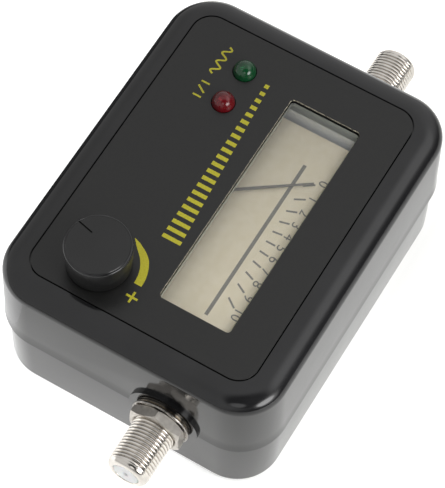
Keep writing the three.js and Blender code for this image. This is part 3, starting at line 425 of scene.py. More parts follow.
finish = {name: makeSurface(name, s, patternSettings) for name, s in surfaces.items()}


# tinted casting epoxy: clear, with the colour deep inside and a wet surface
epoxySettings = {
    "colours": {"green tinted epoxy": "#0f4a28", "red tinted epoxy": "#6d0d16"}, "lighter": 1.25,
    "hazeSize": 2.5, "hazeDetail": 2.0, "roughness": (0.04, 0.08),
    "shader": {"IOR": 1.54, "Transmission Weight": 0.6},
}


def makeEpoxy(name, s):
    material, tree, shader, place = newMaterial(name, s["shader"])
    haze = addNode(tree, "ShaderNodeTexNoise", {"Scale": 1000 / s["hazeSize"], "Detail": s["hazeDetail"]},
                   {"Vector": place}).outputs["Fac"]
    roughen(tree, shader, haze, s["roughness"])
    deep = linear(s["colours"][name])
    shade = addNode(tree, "ShaderNodeMix", {
        "data_type": "RGBA", 6: deep, 7: tuple(c * s["lighter"] for c in deep[:3]) + (1.0,),
    }, {0: haze})
    tree.links.new(shade.outputs[2], shader.inputs["Base Color"])
    return material


# clear moulded polystyrene: light goes straight through, only the gloss and the edges show;
# body is the share of the light that stops in it
styreneSettings = {
    "smearSize": 7, "smearDetail": 3.0, "roughness": (0.03, 0.12), "bending": 1.59,
    # the polished lens, the walls that are seen edge-on, and the end wall, pale bluish and nearly opaque
    "kinds": {
        "clear polystyrene": {"colour": "#f4f6f6", "tint": "#fdfefe", "body": 0.0},
        "clear polystyrene wall": {"colour": "#d2d4c4", "tint": "#dcded2", "body": 0.85},
        "pale bluish polystyrene wall": {"colour": "#eef0f8", "tint": "#f0f2f8", "body": 0.95},
    },
}


def makeStyrene(name, s):
    kind = s["kinds"][name]
    material, tree, shader, place = newMaterial(name, {
        "Base Color": linear(kind["colour"]), "IOR": s["bending"]})
    smear = addNode(tree, "ShaderNodeTexNoise", {
        "Scale": 1000 / s["smearSize"], "Detail": s["smearDetail"],
    }, {"Vector": place})
    roughen(tree, shader, smear.outputs["Fac"], s["roughness"])
    through = addNode(tree, "ShaderNodeBsdfTransparent", {"Color": linear(kind["tint"])})
    edge = addNode(tree, "ShaderNodeFresnel", {"IOR": s["bending"]}).outputs["Fac"]
    share = addNode(tree, "ShaderNodeMapRange", {"To Min": kind["body"]}, {"Value": edge})
    mixed = addNode(tree, "ShaderNodeMixShader", None, {
        0: share.outputs["Result"], 1: through.outputs["BSDF"], 2: shader.outputs["BSDF"],
    })
    tree.links.new(mixed.outputs["Shader"], tree.nodes["Material Output"].inputs["Surface"])
    return material


finish |= {name: makeEpoxy(name, epoxySettings) for name in epoxySettings["colours"]}
finish |= {name: makeStyrene(name, styreneSettings) for name in styreneSettings["kinds"]}
print("materials made:", len(finish))


# drawing
def newShape(name, bm):
    mesh = bpy.data.meshes.new(name)
    bm.to_mesh(mesh)
    bm.free()
    return addObject(name, mesh)


# rings of equal counts joined by faces; closed joins the last ring to the first
def skin(rings, closed=False, capped=True):
    bm = bmesh.new()
    rows = [[bm.verts.new(point) for point in ring] for ring in rings]
    pairs = list(zip(rows, rows[1:])) + ([(rows[-1], rows[0])] if closed else [])
    for low, high in pairs:
        for i in range(len(low)):
            j = (i + 1) % len(low)
            bm.faces.new((low[i], low[j], high[j], high[i]))
    if capped and not closed:
        bm.faces.new(list(reversed(rows[0])))
        bm.faces.new(rows[-1])
    bmesh.ops.remove_doubles(bm, verts=bm.verts, dist=1e-5)
    bmesh.ops.recalc_face_normals(bm, faces=bm.faces)
    return bm


# a profile of radius and height, turned about Z
def turned(profile, steps=64, closed=False):
    circle = [2 * math.pi * i / steps for i in range(steps)]
    rings = [[(r * math.cos(a), r * math.sin(a), h) for a in circle] for r, h in profile]
    return skin(rings, closed, capped=False)


def quarterTurn(steps, first=0):
    return [math.pi / 2 * i / steps for i in range(first, steps + 1)]


def plate(outline, z0, z1):
    return skin([[(x, y, z) for x, y in outline] for z in (z0, z1)])


def box(x0, x1, y0, y1, z0, z1):
    return plate([(x0, y0), (x1, y0), (x1, y1), (x0, y1)], z0, z1)


def roundedOutline(halfX, halfY, radius, x=0, y=0, steps=16):
    outline = []
    for quarter, (signX, signY) in enumerate([(1, 1), (-1, 1), (-1, -1), (1, -1)]):
        for step in range(steps + 1):
            a = (quarter + step / steps) * math.pi / 2
            outline.append((x + signX * (halfX - radius) + radius * math.cos(a),
                            y + signY * (halfY - radius) + radius * math.sin(a)))
    return outline


def disc(radius, z0, z1, x=0, y=0, steps=64):
    bm = plate([(radius * math.cos(2 * math.pi * i / steps), radius * math.sin(2 * math.pi * i / steps))
                for i in range(steps)], z0, z1)
    bm.transform(Matrix.Translation((x, y, 0)))
    return bm


# the modifiers' result becomes the plain mesh
def settle(shape):
    graph = bpy.context.evaluated_depsgraph_get()
    mesh = bpy.data.meshes.new_from_object(shape.evaluated_get(graph))
    shape.modifiers.clear()
    shape.data = mesh
    return shape


def combine(shape, tools, operation="DIFFERENCE"):
    for tool in tools:
        change = shape.modifiers.new("combine", "BOOLEAN")
        change.operation, change.object, change.solver = operation, tool, "EXACT"
    settle(shape)
    for tool in tools:
        bpy.data.objects.remove(tool)


def soften(shape, width, segments=3, angle=30):
    shape.data.shade_smooth()
    bevel = shape.modifiers.new("soften", "BEVEL")
    bevel.width, bevel.segments = width, segments
    bevel.limit_method, bevel.angle_limit = "ANGLE", math.radians(angle)
    bevel.harden_normals = True
    settle(shape)


# to metres, dressed, and declared to the frame
def finishPiece(shape, materials, body, replaced=(), sharp=None):
    mesh = shape.data
    mesh.transform(Matrix.Scale(mm, 4))
    chosen = [face.material_index for face in mesh.polygons]
    mesh.materials.clear()
    for name in materials:
        mesh.materials.append(finish[name])
    mesh.polygons.foreach_set("material_index", chosen)
    mesh.shade_smooth()
    if sharp:
        mesh.set_sharp_from_angle(angle=math.radians(sharp))
    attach(shape, body)
    if replaced:
        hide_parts(*replaced)


# case
caseSettings = {
    "length": 85.7, "width": 66.7, "height": 37.8, "corner": 10.9, "wall": 2.2, "joint": 17.7,
    "draftX": 0.18, "draftY": 0.38, "crownReach": 5.4, "crownDrop": 3.4,
    "innerReach": 4.3, "innerDrop": 2.4,
    # the upper half flares a little towards the joint: inset and rise of each ring, and the inset above
    "skirt": ((0, 0), (0.1, 1.4), (0.16, 2.6), (0.18, 3.4)), "skirtIn": 0.12,
    "inset": 0.85, "lowerDraft": 0.15, "foot": 1.4,
    "tongueHeight": 2.5, "tongueRoot": 3, "tongueThickness": 1.2, "tongueGap": 0.15,
    "postX": 34, "postY": 24.3, "postRadius": 2.75, "postBase": 4.2,
    "screwHole": 1.35, "screwClear": 1.5, "headHole": 2.8, "screwSeat": 3.15,
    "screwFrom": 10, "screwEnd": 24.1, "boardTop": 18.4, "boardBottom": 16.8, "boardGap": 0.05,
    "connectorY": 10.8, "connectorZ": 18.9, "bossRadius": 8.2, "bossHeight": 0.55, "connectorHole": 4.91,
    "pocket": 6.1, "pocketFrom": 35.8,
    "plateRecess": {"halfX": 26, "halfY": 16, "corner": 2, "depth": 0.3},  # a bare place on the underside
    # how far a tool reaches in, stands out, overlaps, and a block's half-sizes
    "deep": 12, "past": 5, "over": 1, "block": (60, 50),
    "cornerSteps": 18, "crownSteps": 14, "innerSteps": 8, "postSteps": 40, "screwSteps": 24, "edge": 0.16,
}
labelSettings = {
    "x": -0.1, "y": -0.45, "halfX": 36.5, "halfY": 26.55, "corner": 4.5, "groove": 0.31,
    "floor": 37.35, "grooveFloor": 36.9, "bottom": 37.4, "top": 37.8, "edge": 0.05, "steps": 12,
    "through": (30, 45), "flat": 0.9,  # z of the tools that cut the face, and the least normal z of its top
}
windowSettings = {"x": 0.45, "y": 8.75, "halfX": 27.45, "halfY": 8.35, "corner": 0.9, "steps": 8}
lampSettings = {
    "places": {"green": (-27.6, -11.7), "red": (-18.6, -11.7)}, "hole": 2.62,
    "radius": 2.5, "flange": 2.9, "flangeHeight": 1.0, "flangeEdge": 0.1, "foot": 31.7,
    "dome": 6.1, "domeSteps": 16,
}
controlSettings = {"x": 27.8, "y": -13.85, "hole": 3.65}


def caseRing(s, z, insetX, insetY):
    radius = s["corner"] - (insetX + insetY) / 2
    outline = roundedOutline(s["length"] / 2 - insetX, s["width"] / 2 - insetY, radius,
                             steps=s["cornerSteps"])
    return [(x, y, z) for x, y in outline]


def crownRings(s, top, drop, reach, insetX, insetY, steps):
    rings = []
    for step in range(steps + 1):
        a = step / steps * math.pi / 2
        inset = reach * (1 - math.cos(a))
        rings.append(caseRing(s, top - drop + drop * math.sin(a), insetX + inset, insetY + inset))
    return rings


def alongX(drawn, side, s):
    turn = Matrix.Rotation(side * math.pi / 2, 4, "Y")
    drawn.transform(Matrix.Translation((0, s["connectorY"], s["connectorZ"])) @ turn)
    return drawn


def acrossEnds(name, radius, near, far, s):
    return [newShape(name, alongX(disc(radius, near, far), side, s)) for side in (1, -1)]


def atPosts(name, radius, z0, z1, s, steps):
    places = [(x * s["postX"], y * s["postY"]) for x in (1, -1) for y in (1, -1)]
    return [newShape(name, disc(radius, z0, z1, x, y, steps)) for x, y in places]


def labelOutline(s, growth):
    return roundedOutline(s["halfX"] + growth, s["halfY"] + growth, s["corner"] + growth,
                          s["x"], s["y"], s["steps"])


def faceOpenings(z0, z1, window, lamps, control):
    outline = roundedOutline(window["halfX"], window["halfY"], window["corner"],
                             window["x"], window["y"], window["steps"])
    openings = [newShape("window", plate(outline, z0, z1)),
                newShape("bushing", disc(control["hole"], z0, z1, control["x"], control["y"]))]
    return openings + [newShape("lampHole", disc(lamps["hole"], z0, z1, x, y))
                       for x, y in lamps["places"].values()]


def makeUpperShell(s, label, window, lamps, control):
    half, wall, ceiling = s["length"] / 2, s["wall"], s["height"] - s["wall"]
    draftX, draftY, joint = s["draftX"], s["draftY"], s["joint"]
    skirt = [caseRing(s, joint + rise, inset, inset) for inset, rise in s["skirt"]]
    shell = newShape("upperShell", skin(skirt + crownRings(
        s, s["height"], s["crownDrop"], s["crownReach"] - s["skirtIn"],
        draftX + s["skirtIn"], draftY + s["skirtIn"], s["crownSteps"])))
    combine(shell, acrossEnds("boss", s["bossRadius"], half - wall, half + s["bossHeight"], s), "UNION")
    cavity = newShape("cavity", skin([caseRing(s, joint - s["deep"], wall, wall)] + crownRings(
        s, ceiling, s["innerDrop"], s["innerReach"], wall + draftX, wall + draftY, s["innerSteps"])))
    wide, broad = s["block"]
    under = newShape("under", box(-wide, wide, -broad, broad, 0, joint))
    combine(shell, [cavity, under])
    combine(shell, atPosts("post", s["postRadius"], s["boardTop"] + s["boardGap"], ceiling + s["over"],
                           s, s["postSteps"]), "UNION")
    low, high = label["through"]
    wider = labelOutline(label, label["groove"])
    groove = newShape("groove", plate(wider, label["grooveFloor"], label["top"]))
    combine(groove, [newShape("inside", plate(labelOutline(label, -label["groove"]), low, high))])
    tools = [groove, newShape("recess", plate(wider, label["floor"], high))]
    tools += faceOpenings(low, high, window, lamps, control)
    tools += acrossEnds("connectorHole", s["connectorHole"], half - s["deep"], half + s["past"], s)
    tools += atPosts("screwHole", s["screwHole"], s["screwFrom"], s["screwEnd"], s, s["screwSteps"])
    combine(shell, tools)
    soften(shell, s["edge"])
    finishPiece(shell, ["gloss moulded ABS"], "case", ["upper_shell"])


def makeLowerShell(s):
    half, wall, inset, over = s["length"] / 2, s["wall"], s["inset"], s["over"]
    footInset = inset + s["lowerDraft"]
    foot = crownRings(s, 0, -s["foot"], s["foot"], footInset, footInset, s["innerSteps"])[::-1]
    shell = newShape("lowerShell", skin(foot + [caseRing(s, s["joint"], inset, inset)]))
    inner = wall + inset
    cavity = newShape("cavity", skin([
        caseRing(s, wall, inner + s["lowerDraft"], inner + s["lowerDraft"]),
        caseRing(s, s["joint"] + s["past"], inner, inner),
    ]))
    combine(shell, [cavity])
    outside = wall + s["tongueGap"]
    inside = outside + s["tongueThickness"]
    low, high = s["joint"] - s["tongueRoot"], s["joint"] + s["tongueHeight"]
    tongue = newShape("tongue", skin([caseRing(s, z, outside, outside) for z in (low, high)]))
    core = skin([caseRing(s, z, inside, inside) for z in (low - over, high + over)])
    combine(tongue, [newShape("inside", core)])
    posts = atPosts("post", s["postRadius"], wall / 2, s["boardBottom"] - s["boardGap"], s, s["postSteps"])
    posts += atPosts("postBase", s["postBase"], wall / 2, s["screwSeat"] + wall, s, s["postSteps"])
    combine(shell, [tongue] + posts, "UNION")
    tools = acrossEnds("pocket", s["pocket"], s["pocketFrom"], half - wall, s)
    tools += acrossEnds("connectorHole", s["connectorHole"], half - s["deep"], half + s["past"], s)
    tools += atPosts("screwHole", s["screwClear"], -over, s["boardTop"], s, s["screwSteps"])
    tools += atPosts("headHole", s["headHole"], -over, s["screwSeat"], s, s["postSteps"])
    bare = s["plateRecess"]
    tools.append(newShape("plateRecess", plate(
        roundedOutline(bare["halfX"], bare["halfY"], bare["corner"]), -over, bare["depth"])))
    combine(shell, tools)
    soften(shell, s["edge"])
    finishPiece(shell, ["gloss moulded ABS"], "case", ["lower_shell"])


def makeLabel(s, window, lamps, control):
    label = newShape("faceLabel", plate(labelOutline(s, 0), s["bottom"], s["top"]))
    combine(label, faceOpenings(*s["through"], window, lamps, control))
    soften(label, s["edge"], 2)
    reachX, reachY = window["halfX"] + s["edge"], window["halfY"] + s["edge"]
    for face in label.data.polygons:
        aside = abs(face.center.x - window["x"]) > reachX or abs(face.center.y - window["y"]) > reachY
        face.material_index = 0 if aside or face.normal.z > s["flat"] else 1
    finishPiece(label, ["printed polycarbonate film", "cut polycarbonate edge"], "case",
                ["face_label"])


makeUpperShell(caseSettings, labelSettings, windowSettings, lampSettings, controlSettings)
makeLowerShell(caseSettings)
makeLabel(labelSettings, windowSettings, lampSettings, controlSettings)
print("case made")


# what repeats by a rule: a tree with named inputs, which starts from a line of Count points
def newTree(name, labels):
    tree = bpy.data.node_groups.new(name, "GeometryNodeTree")
    tree.interface.new_socket("Geometry", in_out="OUTPUT", socket_type="NodeSocketGeometry")
    for label in labels:
        kind = "NodeSocketInt" if label == "Count" else "NodeSocketFloat"
        tree.interface.new_socket(label, in_out="INPUT", socket_type=kind)
    given = tree.nodes.new("NodeGroupInput").outputs
    points = addNode(tree, "GeometryNodeMeshLine", None, {"Count": given["Count"]}).outputs["Mesh"]
    return tree, given, points, addNode(tree, "GeometryNodeInputIndex").outputs["Index"]


# a box at each point, turned and scaled, as real geometry in its material
def closeTree(tree, points, place, links, material):
    spots = addNode(tree, "GeometryNodeSetPosition", None,
                    {"Geometry": points, "Position": place.outputs["Vector"]})
    block = addNode(tree, "GeometryNodeMeshCube")
    row = addNode(tree, "GeometryNodeInstanceOnPoints", None, {
        "Points": spots.outputs["Geometry"], "Instance": block.outputs["Mesh"], **links})
    real = addNode(tree, "GeometryNodeRealizeInstances", None, {"Geometry": row.outputs["Instances"]})
    dressed = addNode(tree, "GeometryNodeSetMaterial", {"Material": finish[material]},
                      {"Geometry": real.outputs["Geometry"]})
    addNode(tree, "NodeGroupOutput", None, {0: dressed.outputs["Geometry"]})
    return tree


def grow(name, tree, sizes):
    shape = addObject(name, bpy.data.meshes.new(name))
    modifier = shape.modifiers.new("grow", "NODES")
    modifier.node_group = tree
    for item in tree.interface.items_tree:
        if item.in_out == "INPUT":
            modifier[item.identifier] = sizes[item.name]
    return settle(shape)


def merged(name, shapes):
    bm = bmesh.new()
    for shape in shapes:
        bm.from_mesh(shape.data)
        bpy.data.objects.remove(shape)
    return newShape(name, bm)


def words(text, height, x, y, z, thickness):
    curve = bpy.data.curves.new(text, "FONT")
    curve.body, curve.size = text, height / 0.73  # a figure stands 0.73 of the font's size
    curve.extrude = thickness / 2
    curve.align_x, curve.align_y = "CENTER", "CENTER"
    writing = addObject(text, curve)
    mesh = bpy.data.meshes.new_from_object(writing.evaluated_get(bpy.context.evaluated_depsgraph_get()))
    bpy.data.objects.remove(writing)
    mesh.transform(Matrix.Translation((x, y, z + thickness / 2)))
    return addObject(text, mesh)


# prints on the label
printSettings = {
    "z": 37.79, "thickness": 0.03,
    "bars": {"Count": 22, "Pitch": 2.0, "Width": 0.95, "First": 1.0, "Last": 4.45},
    "barsFrom": (-26.7, -6.25),
    # a swoop round the knob: degrees and radius of each edge
    "swoopStart": 89, "swoopEnd": 160, "swoopSteps": 60,
    "swoopInner": ((89, 8.42), (142, 8.42), (150, 8.65), (160, 9.32)),
    "swoopOuter": ((89, 10.2), (125, 10.2), (143, 9.72), (160, 9.42)),
    "plusAngle": 72, "plusRadius": 10.3, "plusArm": 1.35, "plusWidth": 0.5,
    "waveFrom": -31.2, "waveTo": -23.6, "waveY": -17.4, "waveHeight": 0.85, "waveWidth": 0.42,
    "waveTurns": 3, "waveSteps": 48,
    "marks": ((-20.9, -18.4, -20.9, -16.4), (-19.7, -18.4, -18.4, -16.4), (-17.2, -18.4, -17.2, -16.4)),
    "markWidth": 0.42,
}


def barRow(material):
    tree, given, points, index = newTree(
        "levelBars", ("Count", "Pitch", "Width", "First", "Last", "Thickness"))
    last = addNode(tree, "ShaderNodeMath", {"operation": "SUBTRACT", 1: 1.0}, {0: given["Count"]})
    share = addNode(tree, "ShaderNodeMath", {"operation": "DIVIDE"}, {0: index, 1: last.outputs[0]})
    height = addNode(tree, "ShaderNodeMapRange", None,
                     {"Value": share.outputs[0], "To Min": given["First"], "To Max": given["Last"]})
    across = addNode(tree, "ShaderNodeMath", {"operation": "MULTIPLY"}, {0: index, 1: given["Pitch"]})
    middle = addNode(tree, "ShaderNodeMath", {"operation": "DIVIDE", 1: 2.0}, {0: height.outputs["Result"]})
    place = addNode(tree, "ShaderNodeCombineXYZ", None, {"X": across.outputs[0], "Y": middle.outputs[0]})
    size = addNode(tree, "ShaderNodeCombineXYZ", None,
                   {"X": given["Width"], "Y": height.outputs["Result"], "Z": given["Thickness"]})
    return closeTree(tree, points, place, {"Scale": size.outputs["Vector"]}, material)


# the value at an angle, on straight lines between the given ones
def between(pairs, at):
    for (a0, v0), (a1, v1) in zip(pairs, pairs[1:]):
        if at <= a1:
            return v0 + (v1 - v0) * (at - a0) / (a1 - a0)
    return pairs[-1][1]


def ribbon(name, left, right, z0, z1):
    return newShape(name, skin([[(*a, z0), (*b, z0), (*b, z1), (*a, z1)] for a, b in zip(left, right)]))


def stroke(points, width, z0, z1):
    left, right = [], []
    for i, point in enumerate(points):
        ahead = Vector(points[min(i + 1, len(points) - 1)]) - Vector(points[max(i - 1, 0)])
        side = Vector((-ahead.y, ahead.x)).normalized() * width / 2
        left.append((point[0] + side.x, point[1] + side.y))
        right.append((point[0] - side.x, point[1] - side.y))
    return ribbon("stroke", left, right, z0, z1)


def makePrints(s, control):
    z0, z1 = s["z"], s["z"] + s["thickness"]
    bars = grow("bars", barRow("yellow screen ink"), {**s["bars"], "Thickness": s["thickness"]})
    bars.data.transform(Matrix.Translation((*s["barsFrom"], (z0 + z1) / 2)))
    angles = [s["swoopStart"] + (s["swoopEnd"] - s["swoopStart"]) * i / s["swoopSteps"]
              for i in range(s["swoopSteps"] + 1)]
    inner, outer = [[(control["x"] + between(s[edge], a) * math.cos(math.radians(a)),
                      control["y"] + between(s[edge], a) * math.sin(math.radians(a))) for a in angles]
                    for edge in ("swoopInner", "swoopOuter")]
    swoop = ribbon("swoop", outer, inner, z0, z1)
    turn = math.radians(s["plusAngle"])
    x, y = control["x"] + s["plusRadius"] * math.cos(turn), control["y"] + s["plusRadius"] * math.sin(turn)
    arm, half = s["plusArm"], s["plusWidth"] / 2
    cross = [(x + u * alongU - v * alongV, y + u * alongV + v * alongU)
             for alongU, alongV in ((1, 0), (0, 1), (-1, 0), (0, -1))
             for u, v in ((arm, -half), (arm, half), (half, half))]
    plus = newShape("plus", plate(cross, z0, z1))
    steps = s["waveSteps"]
    wave = [(s["waveFrom"] + (s["waveTo"] - s["waveFrom"]) * i / steps,
             s["waveY"] + s["waveHeight"] * math.sin(2 * math.pi * s["waveTurns"] * i / steps))
            for i in range(steps + 1)]
    strokes = [stroke(wave, s["waveWidth"], z0, z1)]
    strokes += [stroke([(x0, y0), (x1, y1)], s["markWidth"], z0, z1) for x0, y0, x1, y1 in s["marks"]]
    prints = merged("labelPrints", [bars, swoop, plus] + strokes)
    finishPiece(prints, ["yellow screen ink"], "case", sharp=30)


makePrints(printSettings, controlSettings)
print("prints made")


# meter
meterSettings = {
    "pivotX": 3.3, "pivotY": -9.5,
    "front": 20.6, "back": -5, "halfLength": 30.3, "rear": -20.5, "narrow": 8.9, "wall": 1.5,
    "top": 35.55, "foot": 29.95, "under": 34.55, "dialTop": 33.0, "edge": 0.12, "over": 1,
    "lensTop": 37.0, "lensGap": 0.15, "lensBack": 0.15, "lensWall": 0.35, "lensSide": 1.5,
    "lensUnder": 36.0, "lensRoot": 0.1, "lensSteps": 6, "roomEnd": -25.5,
    # faces whose normal z is under this are walls; the pale end wall lies this many walls from the left end
    "upright": 0.5, "paleWall": (0.6, 1.5),
    "ticks": {"Count": 11, "First": -36.0, "Step": 7.2, "Near": 11.65, "Far": 13.85, "Width": 0.42},
    "barY": 9.65, "barWidth": 0.8, "barFrom": -16.7, "barTo": 24.5,
    "numberY": 15.2, "numberHeight": 2.3, "ink": 0.02, "inkRoot": 0.005,
}


def tickTree(material):
    tree, given, points, index = newTree(
        "dialTicks", ("Count", "First", "Step", "Near", "Far", "Width", "Thickness"))
    turn = addNode(tree, "ShaderNodeMath", {"operation": "MULTIPLY_ADD"},
                   {0: index, 1: given["Step"], 2: given["First"]})
    angle = addNode(tree, "ShaderNodeMath", {"operation": "RADIANS"}, {0: turn.outputs[0]}).outputs[0]
    slope = addNode(tree, "ShaderNodeMath", {"operation": "TANGENT"}, {0: angle})
    total = addNode(tree, "ShaderNodeMath", {"operation": "ADD"}, {0: given["Near"], 1: given["Far"]})
    middle = addNode(tree, "ShaderNodeMath", {"operation": "DIVIDE", 1: 2.0}, {0: total.outputs[0]})
    across = addNode(tree, "ShaderNodeMath", {"operation": "MULTIPLY"},
                     {0: slope.outputs[0], 1: middle.outputs[0]})
    place = addNode(tree, "ShaderNodeCombineXYZ", None, {"X": across.outputs[0], "Y": middle.outputs[0]})
    rise = addNode(tree, "ShaderNodeMath", {"operation": "SUBTRACT"}, {0: given["Far"], 1: given["Near"]})
    lean = addNode(tree, "ShaderNodeMath", {"operation": "COSINE"}, {0: angle})
    length = addNode(tree, "ShaderNodeMath", {"operation": "DIVIDE"},
                     {0: rise.outputs[0], 1: lean.outputs[0]})
    size = addNode(tree, "ShaderNodeCombineXYZ", None,
                   {"X": given["Width"], "Y": length.outputs[0], "Z": given["Thickness"]})
    back = addNode(tree, "ShaderNodeMath", {"operation": "MULTIPLY", 1: -1.0}, {0: angle})
    spin = addNode(tree, "ShaderNodeCombineXYZ", None, {"Z": back.outputs[0]})
    links = {"Rotation": spin.outputs["Vector"], "Scale": size.outputs["Vector"]}
    return closeTree(tree, points, place, links, material)


def meterPlan(s, inset):
    x = s["pivotX"]
    wide, narrow = s["halfLength"] - inset, s["narrow"] - inset
    front, back, rear = s["front"] - inset, s["back"] + inset, s["rear"] + inset
    return [(x + wide, back), (x + wide, front), (x - wide, front), (x - wide, back),
            (x - narrow, back), (x - narrow, rear), (x + narrow, rear), (x + narrow, back)]


def makeCover(s, window):
    cover = newShape("meterCover", plate(meterPlan(s, 0), s["foot"], s["top"]))
    halfX, halfY, back = window["halfX"] - s["lensGap"], window["halfY"] - s["lensGap"], s["lensBack"] / 2
    lens = roundedOutline(halfX - back, halfY, window["corner"] - s["lensGap"],
                          window["x"] + back, window["y"], s["lensSteps"])
    combine(cover, [newShape("lens", plate(lens, s["under"] + s["lensRoot"], s["lensTop"]))], "UNION")
    front, side = window["x"] + halfX - s["lensWall"], window["y"] + halfY - s["lensWall"]
    hollow = box(s["roomEnd"], front, window["y"] - halfY - s["lensSide"], side,
                 s["under"] - s["over"], s["lensUnder"])
    combine(cover, [newShape("room", plate(meterPlan(s, s["wall"]), s["foot"] - s["over"], s["under"])),
                    newShape("hollow", hollow)])
    soften(cover, s["edge"], 2)
    left = s["pivotX"] - s["halfLength"]
    near, far = s["paleWall"]
    for face in cover.data.polygons:
        if abs(face.normal.z) < s["upright"]:
            inner = s["wall"] * near < face.center.x - left < s["wall"] * far
            face.material_index = 2 if inner else 1
    finishPiece(cover, ["clear polystyrene", "clear polystyrene wall", "pale bluish polystyrene wall"],
                "case", ["meter_cover"])


def makeDialPrints(s):
    z0, z1 = s["dialTop"] - s["inkRoot"], s["dialTop"] + s["ink"]
    ticks = dict(s["ticks"], Near=s["ticks"]["Near"] - s["pivotY"], Far=s["ticks"]["Far"] - s["pivotY"])
    marks = grow("ticks", tickTree("dial ink"), {**ticks, "Thickness": z1 - z0})
    marks.data.transform(Matrix.Translation((s["pivotX"], s["pivotY"], (z0 + z1) / 2)))
    near, far = s["barY"] - s["barWidth"] / 2, s["barY"] + s["barWidth"] / 2
    shapes = [marks, newShape("bar", box(s["barFrom"], s["barTo"], near, far, z0, z1))]
    for i in range(s["ticks"]["Count"]):
        angle = math.radians(s["ticks"]["First"] + i * s["ticks"]["Step"])
        x = s["pivotX"] + (s["numberY"] - s["pivotY"]) * math.tan(angle)
        shapes.append(words(str(i), s["numberHeight"], x, s["numberY"], z0, z1 - z0))
    finishPiece(merged("dialPrints", shapes), ["dial ink"], "case", sharp=30)


makeCover(meterSettings, windowSettings)
makeDialPrints(meterSettings)
print("meter dressed")


# knob
knobSettings = {
    "foot": 38.2, "top": 45.8, "footRadius": 6.8, "topRadius": 7.2,
    "edge": 0.5, "edgeSteps": 8, "steps": 96, "footOut": 0.02, "footIn": 0.2, "footRise": 0.25,
    "hollow": 6.0, "roof": 44.3, "hub": 4.4, "hubFoot": 42.1, "bore": 3.05,
    "ringRadius": 6.72, "ringDepth": 0.06, "ringWidth": 0.12,
    "markWidth": 0.36, "markDepth": 0.5, "markFrom": 2.9, "markTo": 6.7, "markAside": -1.12,
    "markAngle": -103, "markOver": 1, "softEdge": 0.06, "softAngle": 40,
    "glossNormals": (0.1, 0.98), "glossBand": 0.1,  # normal z and width of the rim that fingers polished
}


def makeKnob(s, control):
    top, edge, roof, foot = s["top"], s["edge"], s["roof"], s["foot"]
    ring, half, depth = s["ringRadius"], s["ringWidth"] / 2, s["ringDepth"]
    outer = [(0, top), (ring - half * 2, top), (ring - half, top - depth), (ring + half, top - depth)]
    rim = s["topRadius"] - edge
    outer += [(rim + edge * math.sin(a), top - edge + edge * math.cos(a) - depth / 2)
              for a in quarterTurn(s["edgeSteps"], 1)]
    inner = [(s["footRadius"] + s["footOut"], foot + s["footRise"]), (s["footRadius"] - s["footIn"], foot),
             (s["hollow"], foot), (s["hollow"], roof), (s["hub"], roof), (s["hub"], s["hubFoot"]),
             (s["bore"], s["hubFoot"]), (s["bore"], roof), (0, roof)]
    knob = newShape("knobBody", turned(outer + inner, s["steps"]))
    near, far = s["markAside"] - s["markWidth"] / 2, s["markAside"] + s["markWidth"] / 2
    mark = box(s["markFrom"], s["markTo"], near, far, top - s["markDepth"], top + s["markOver"])
    mark.transform(Matrix.Rotation(math.radians(s["markAngle"]), 4, "Z"))
    combine(knob, [newShape("mark", mark)])
    soften(knob, s["softEdge"], 2, s["softAngle"])
    middle = Vector((control["x"], control["y"], 0))
    knob.data.transform(Matrix.Translation(middle))
    low, high = s["glossNormals"]
    for face in knob.data.polygons:
        onRim = face.center.z > top - edge and low < face.normal.z < high
        face.material_index = int(onRim and (face.center - middle).xy.length > rim - s["glossBand"])
    finishPiece(knob, ["satin moulded ABS", "gloss moulded ABS"], "knob_shaft", ["knob"])


makeKnob(knobSettings, controlSettings)
print("knob made")


# lamps
# what shows through the epoxy: the cup that holds the die, with cupLip, cupFloor and stem as shares
# of its radius, and the anvil beside it
lampInside = {
    "cupRadius": 1.05, "cupTop": 5.9, "cupDepth": 0.6, "cupLip": 0.92, "cupFloor": 0.5,
    "stem": 0.45, "stemFrom": 1.9, "rimTo": 1.2, "root": 0.3,
    "anvilGap": 0.25, "anvilWidth": 0.9, "anvilHalf": 0.3, "anvilDrop": 0.1, "die": 0.5, "dieHeight": 0.12,
    "steps": 40,
}


def makeLamp(name, s, inside):
    x, y = s["places"][name]
    foot, radius, flange, edge = s["foot"], s["radius"], s["flange"], s["flangeEdge"]
    shelf = foot + s["flangeHeight"]
    profile = [(0, foot), (flange - edge, foot), (flange, foot + edge), (flange, shelf - edge),
               (flange - edge, shelf), (radius, shelf)]
    profile += [(radius * math.cos(a), foot + s["dome"] + radius * math.sin(a))
                for a in quarterTurn(s["domeSteps"])]
    lamp = newShape(f"{name}Lamp", turned(profile))
    lamp.data.transform(Matrix.Translation((x, y, 0)))
    finishPiece(lamp, [f"{name} tinted epoxy"], "case", [f"{name}_lamp"], sharp=40)
    rim, top, root = inside["cupRadius"], foot + inside["cupTop"], foot + inside["root"]
    bottom, floor = top - inside["cupDepth"], rim * inside["cupFloor"]
    cup = newShape("cup", turned([
        (0, bottom), (floor, bottom), (rim * inside["cupLip"], top), (rim, top),
        (rim, top - inside["rimTo"]), (floor, top - inside["stemFrom"]),
        (rim * inside["stem"], root), (0, root),
    ], inside["steps"]))
    near, half = -rim - inside["anvilGap"], inside["anvilHalf"]
    anvil = newShape("anvil", box(near - inside["anvilWidth"], near, -half, half,
                                  root, top - inside["anvilDrop"]))
    die = inside["die"]
    chip = newShape(f"{name}LampDie", box(-die, die, -die, die, bottom, bottom + inside["dieHeight"]))
    metal = merged(f"{name}LampFrame", [cup, anvil])
    for shape, material in ((metal, "tinned copper wire"), (chip, "moulded black epoxy")):
        shape.data.transform(Matrix.Translation((x, y, 0)))
        finishPiece(shape, [material], "case", sharp=40)


for name in lampSettings["places"]:
    makeLamp(name, lampSettings, lampInside)
print("lamps made")


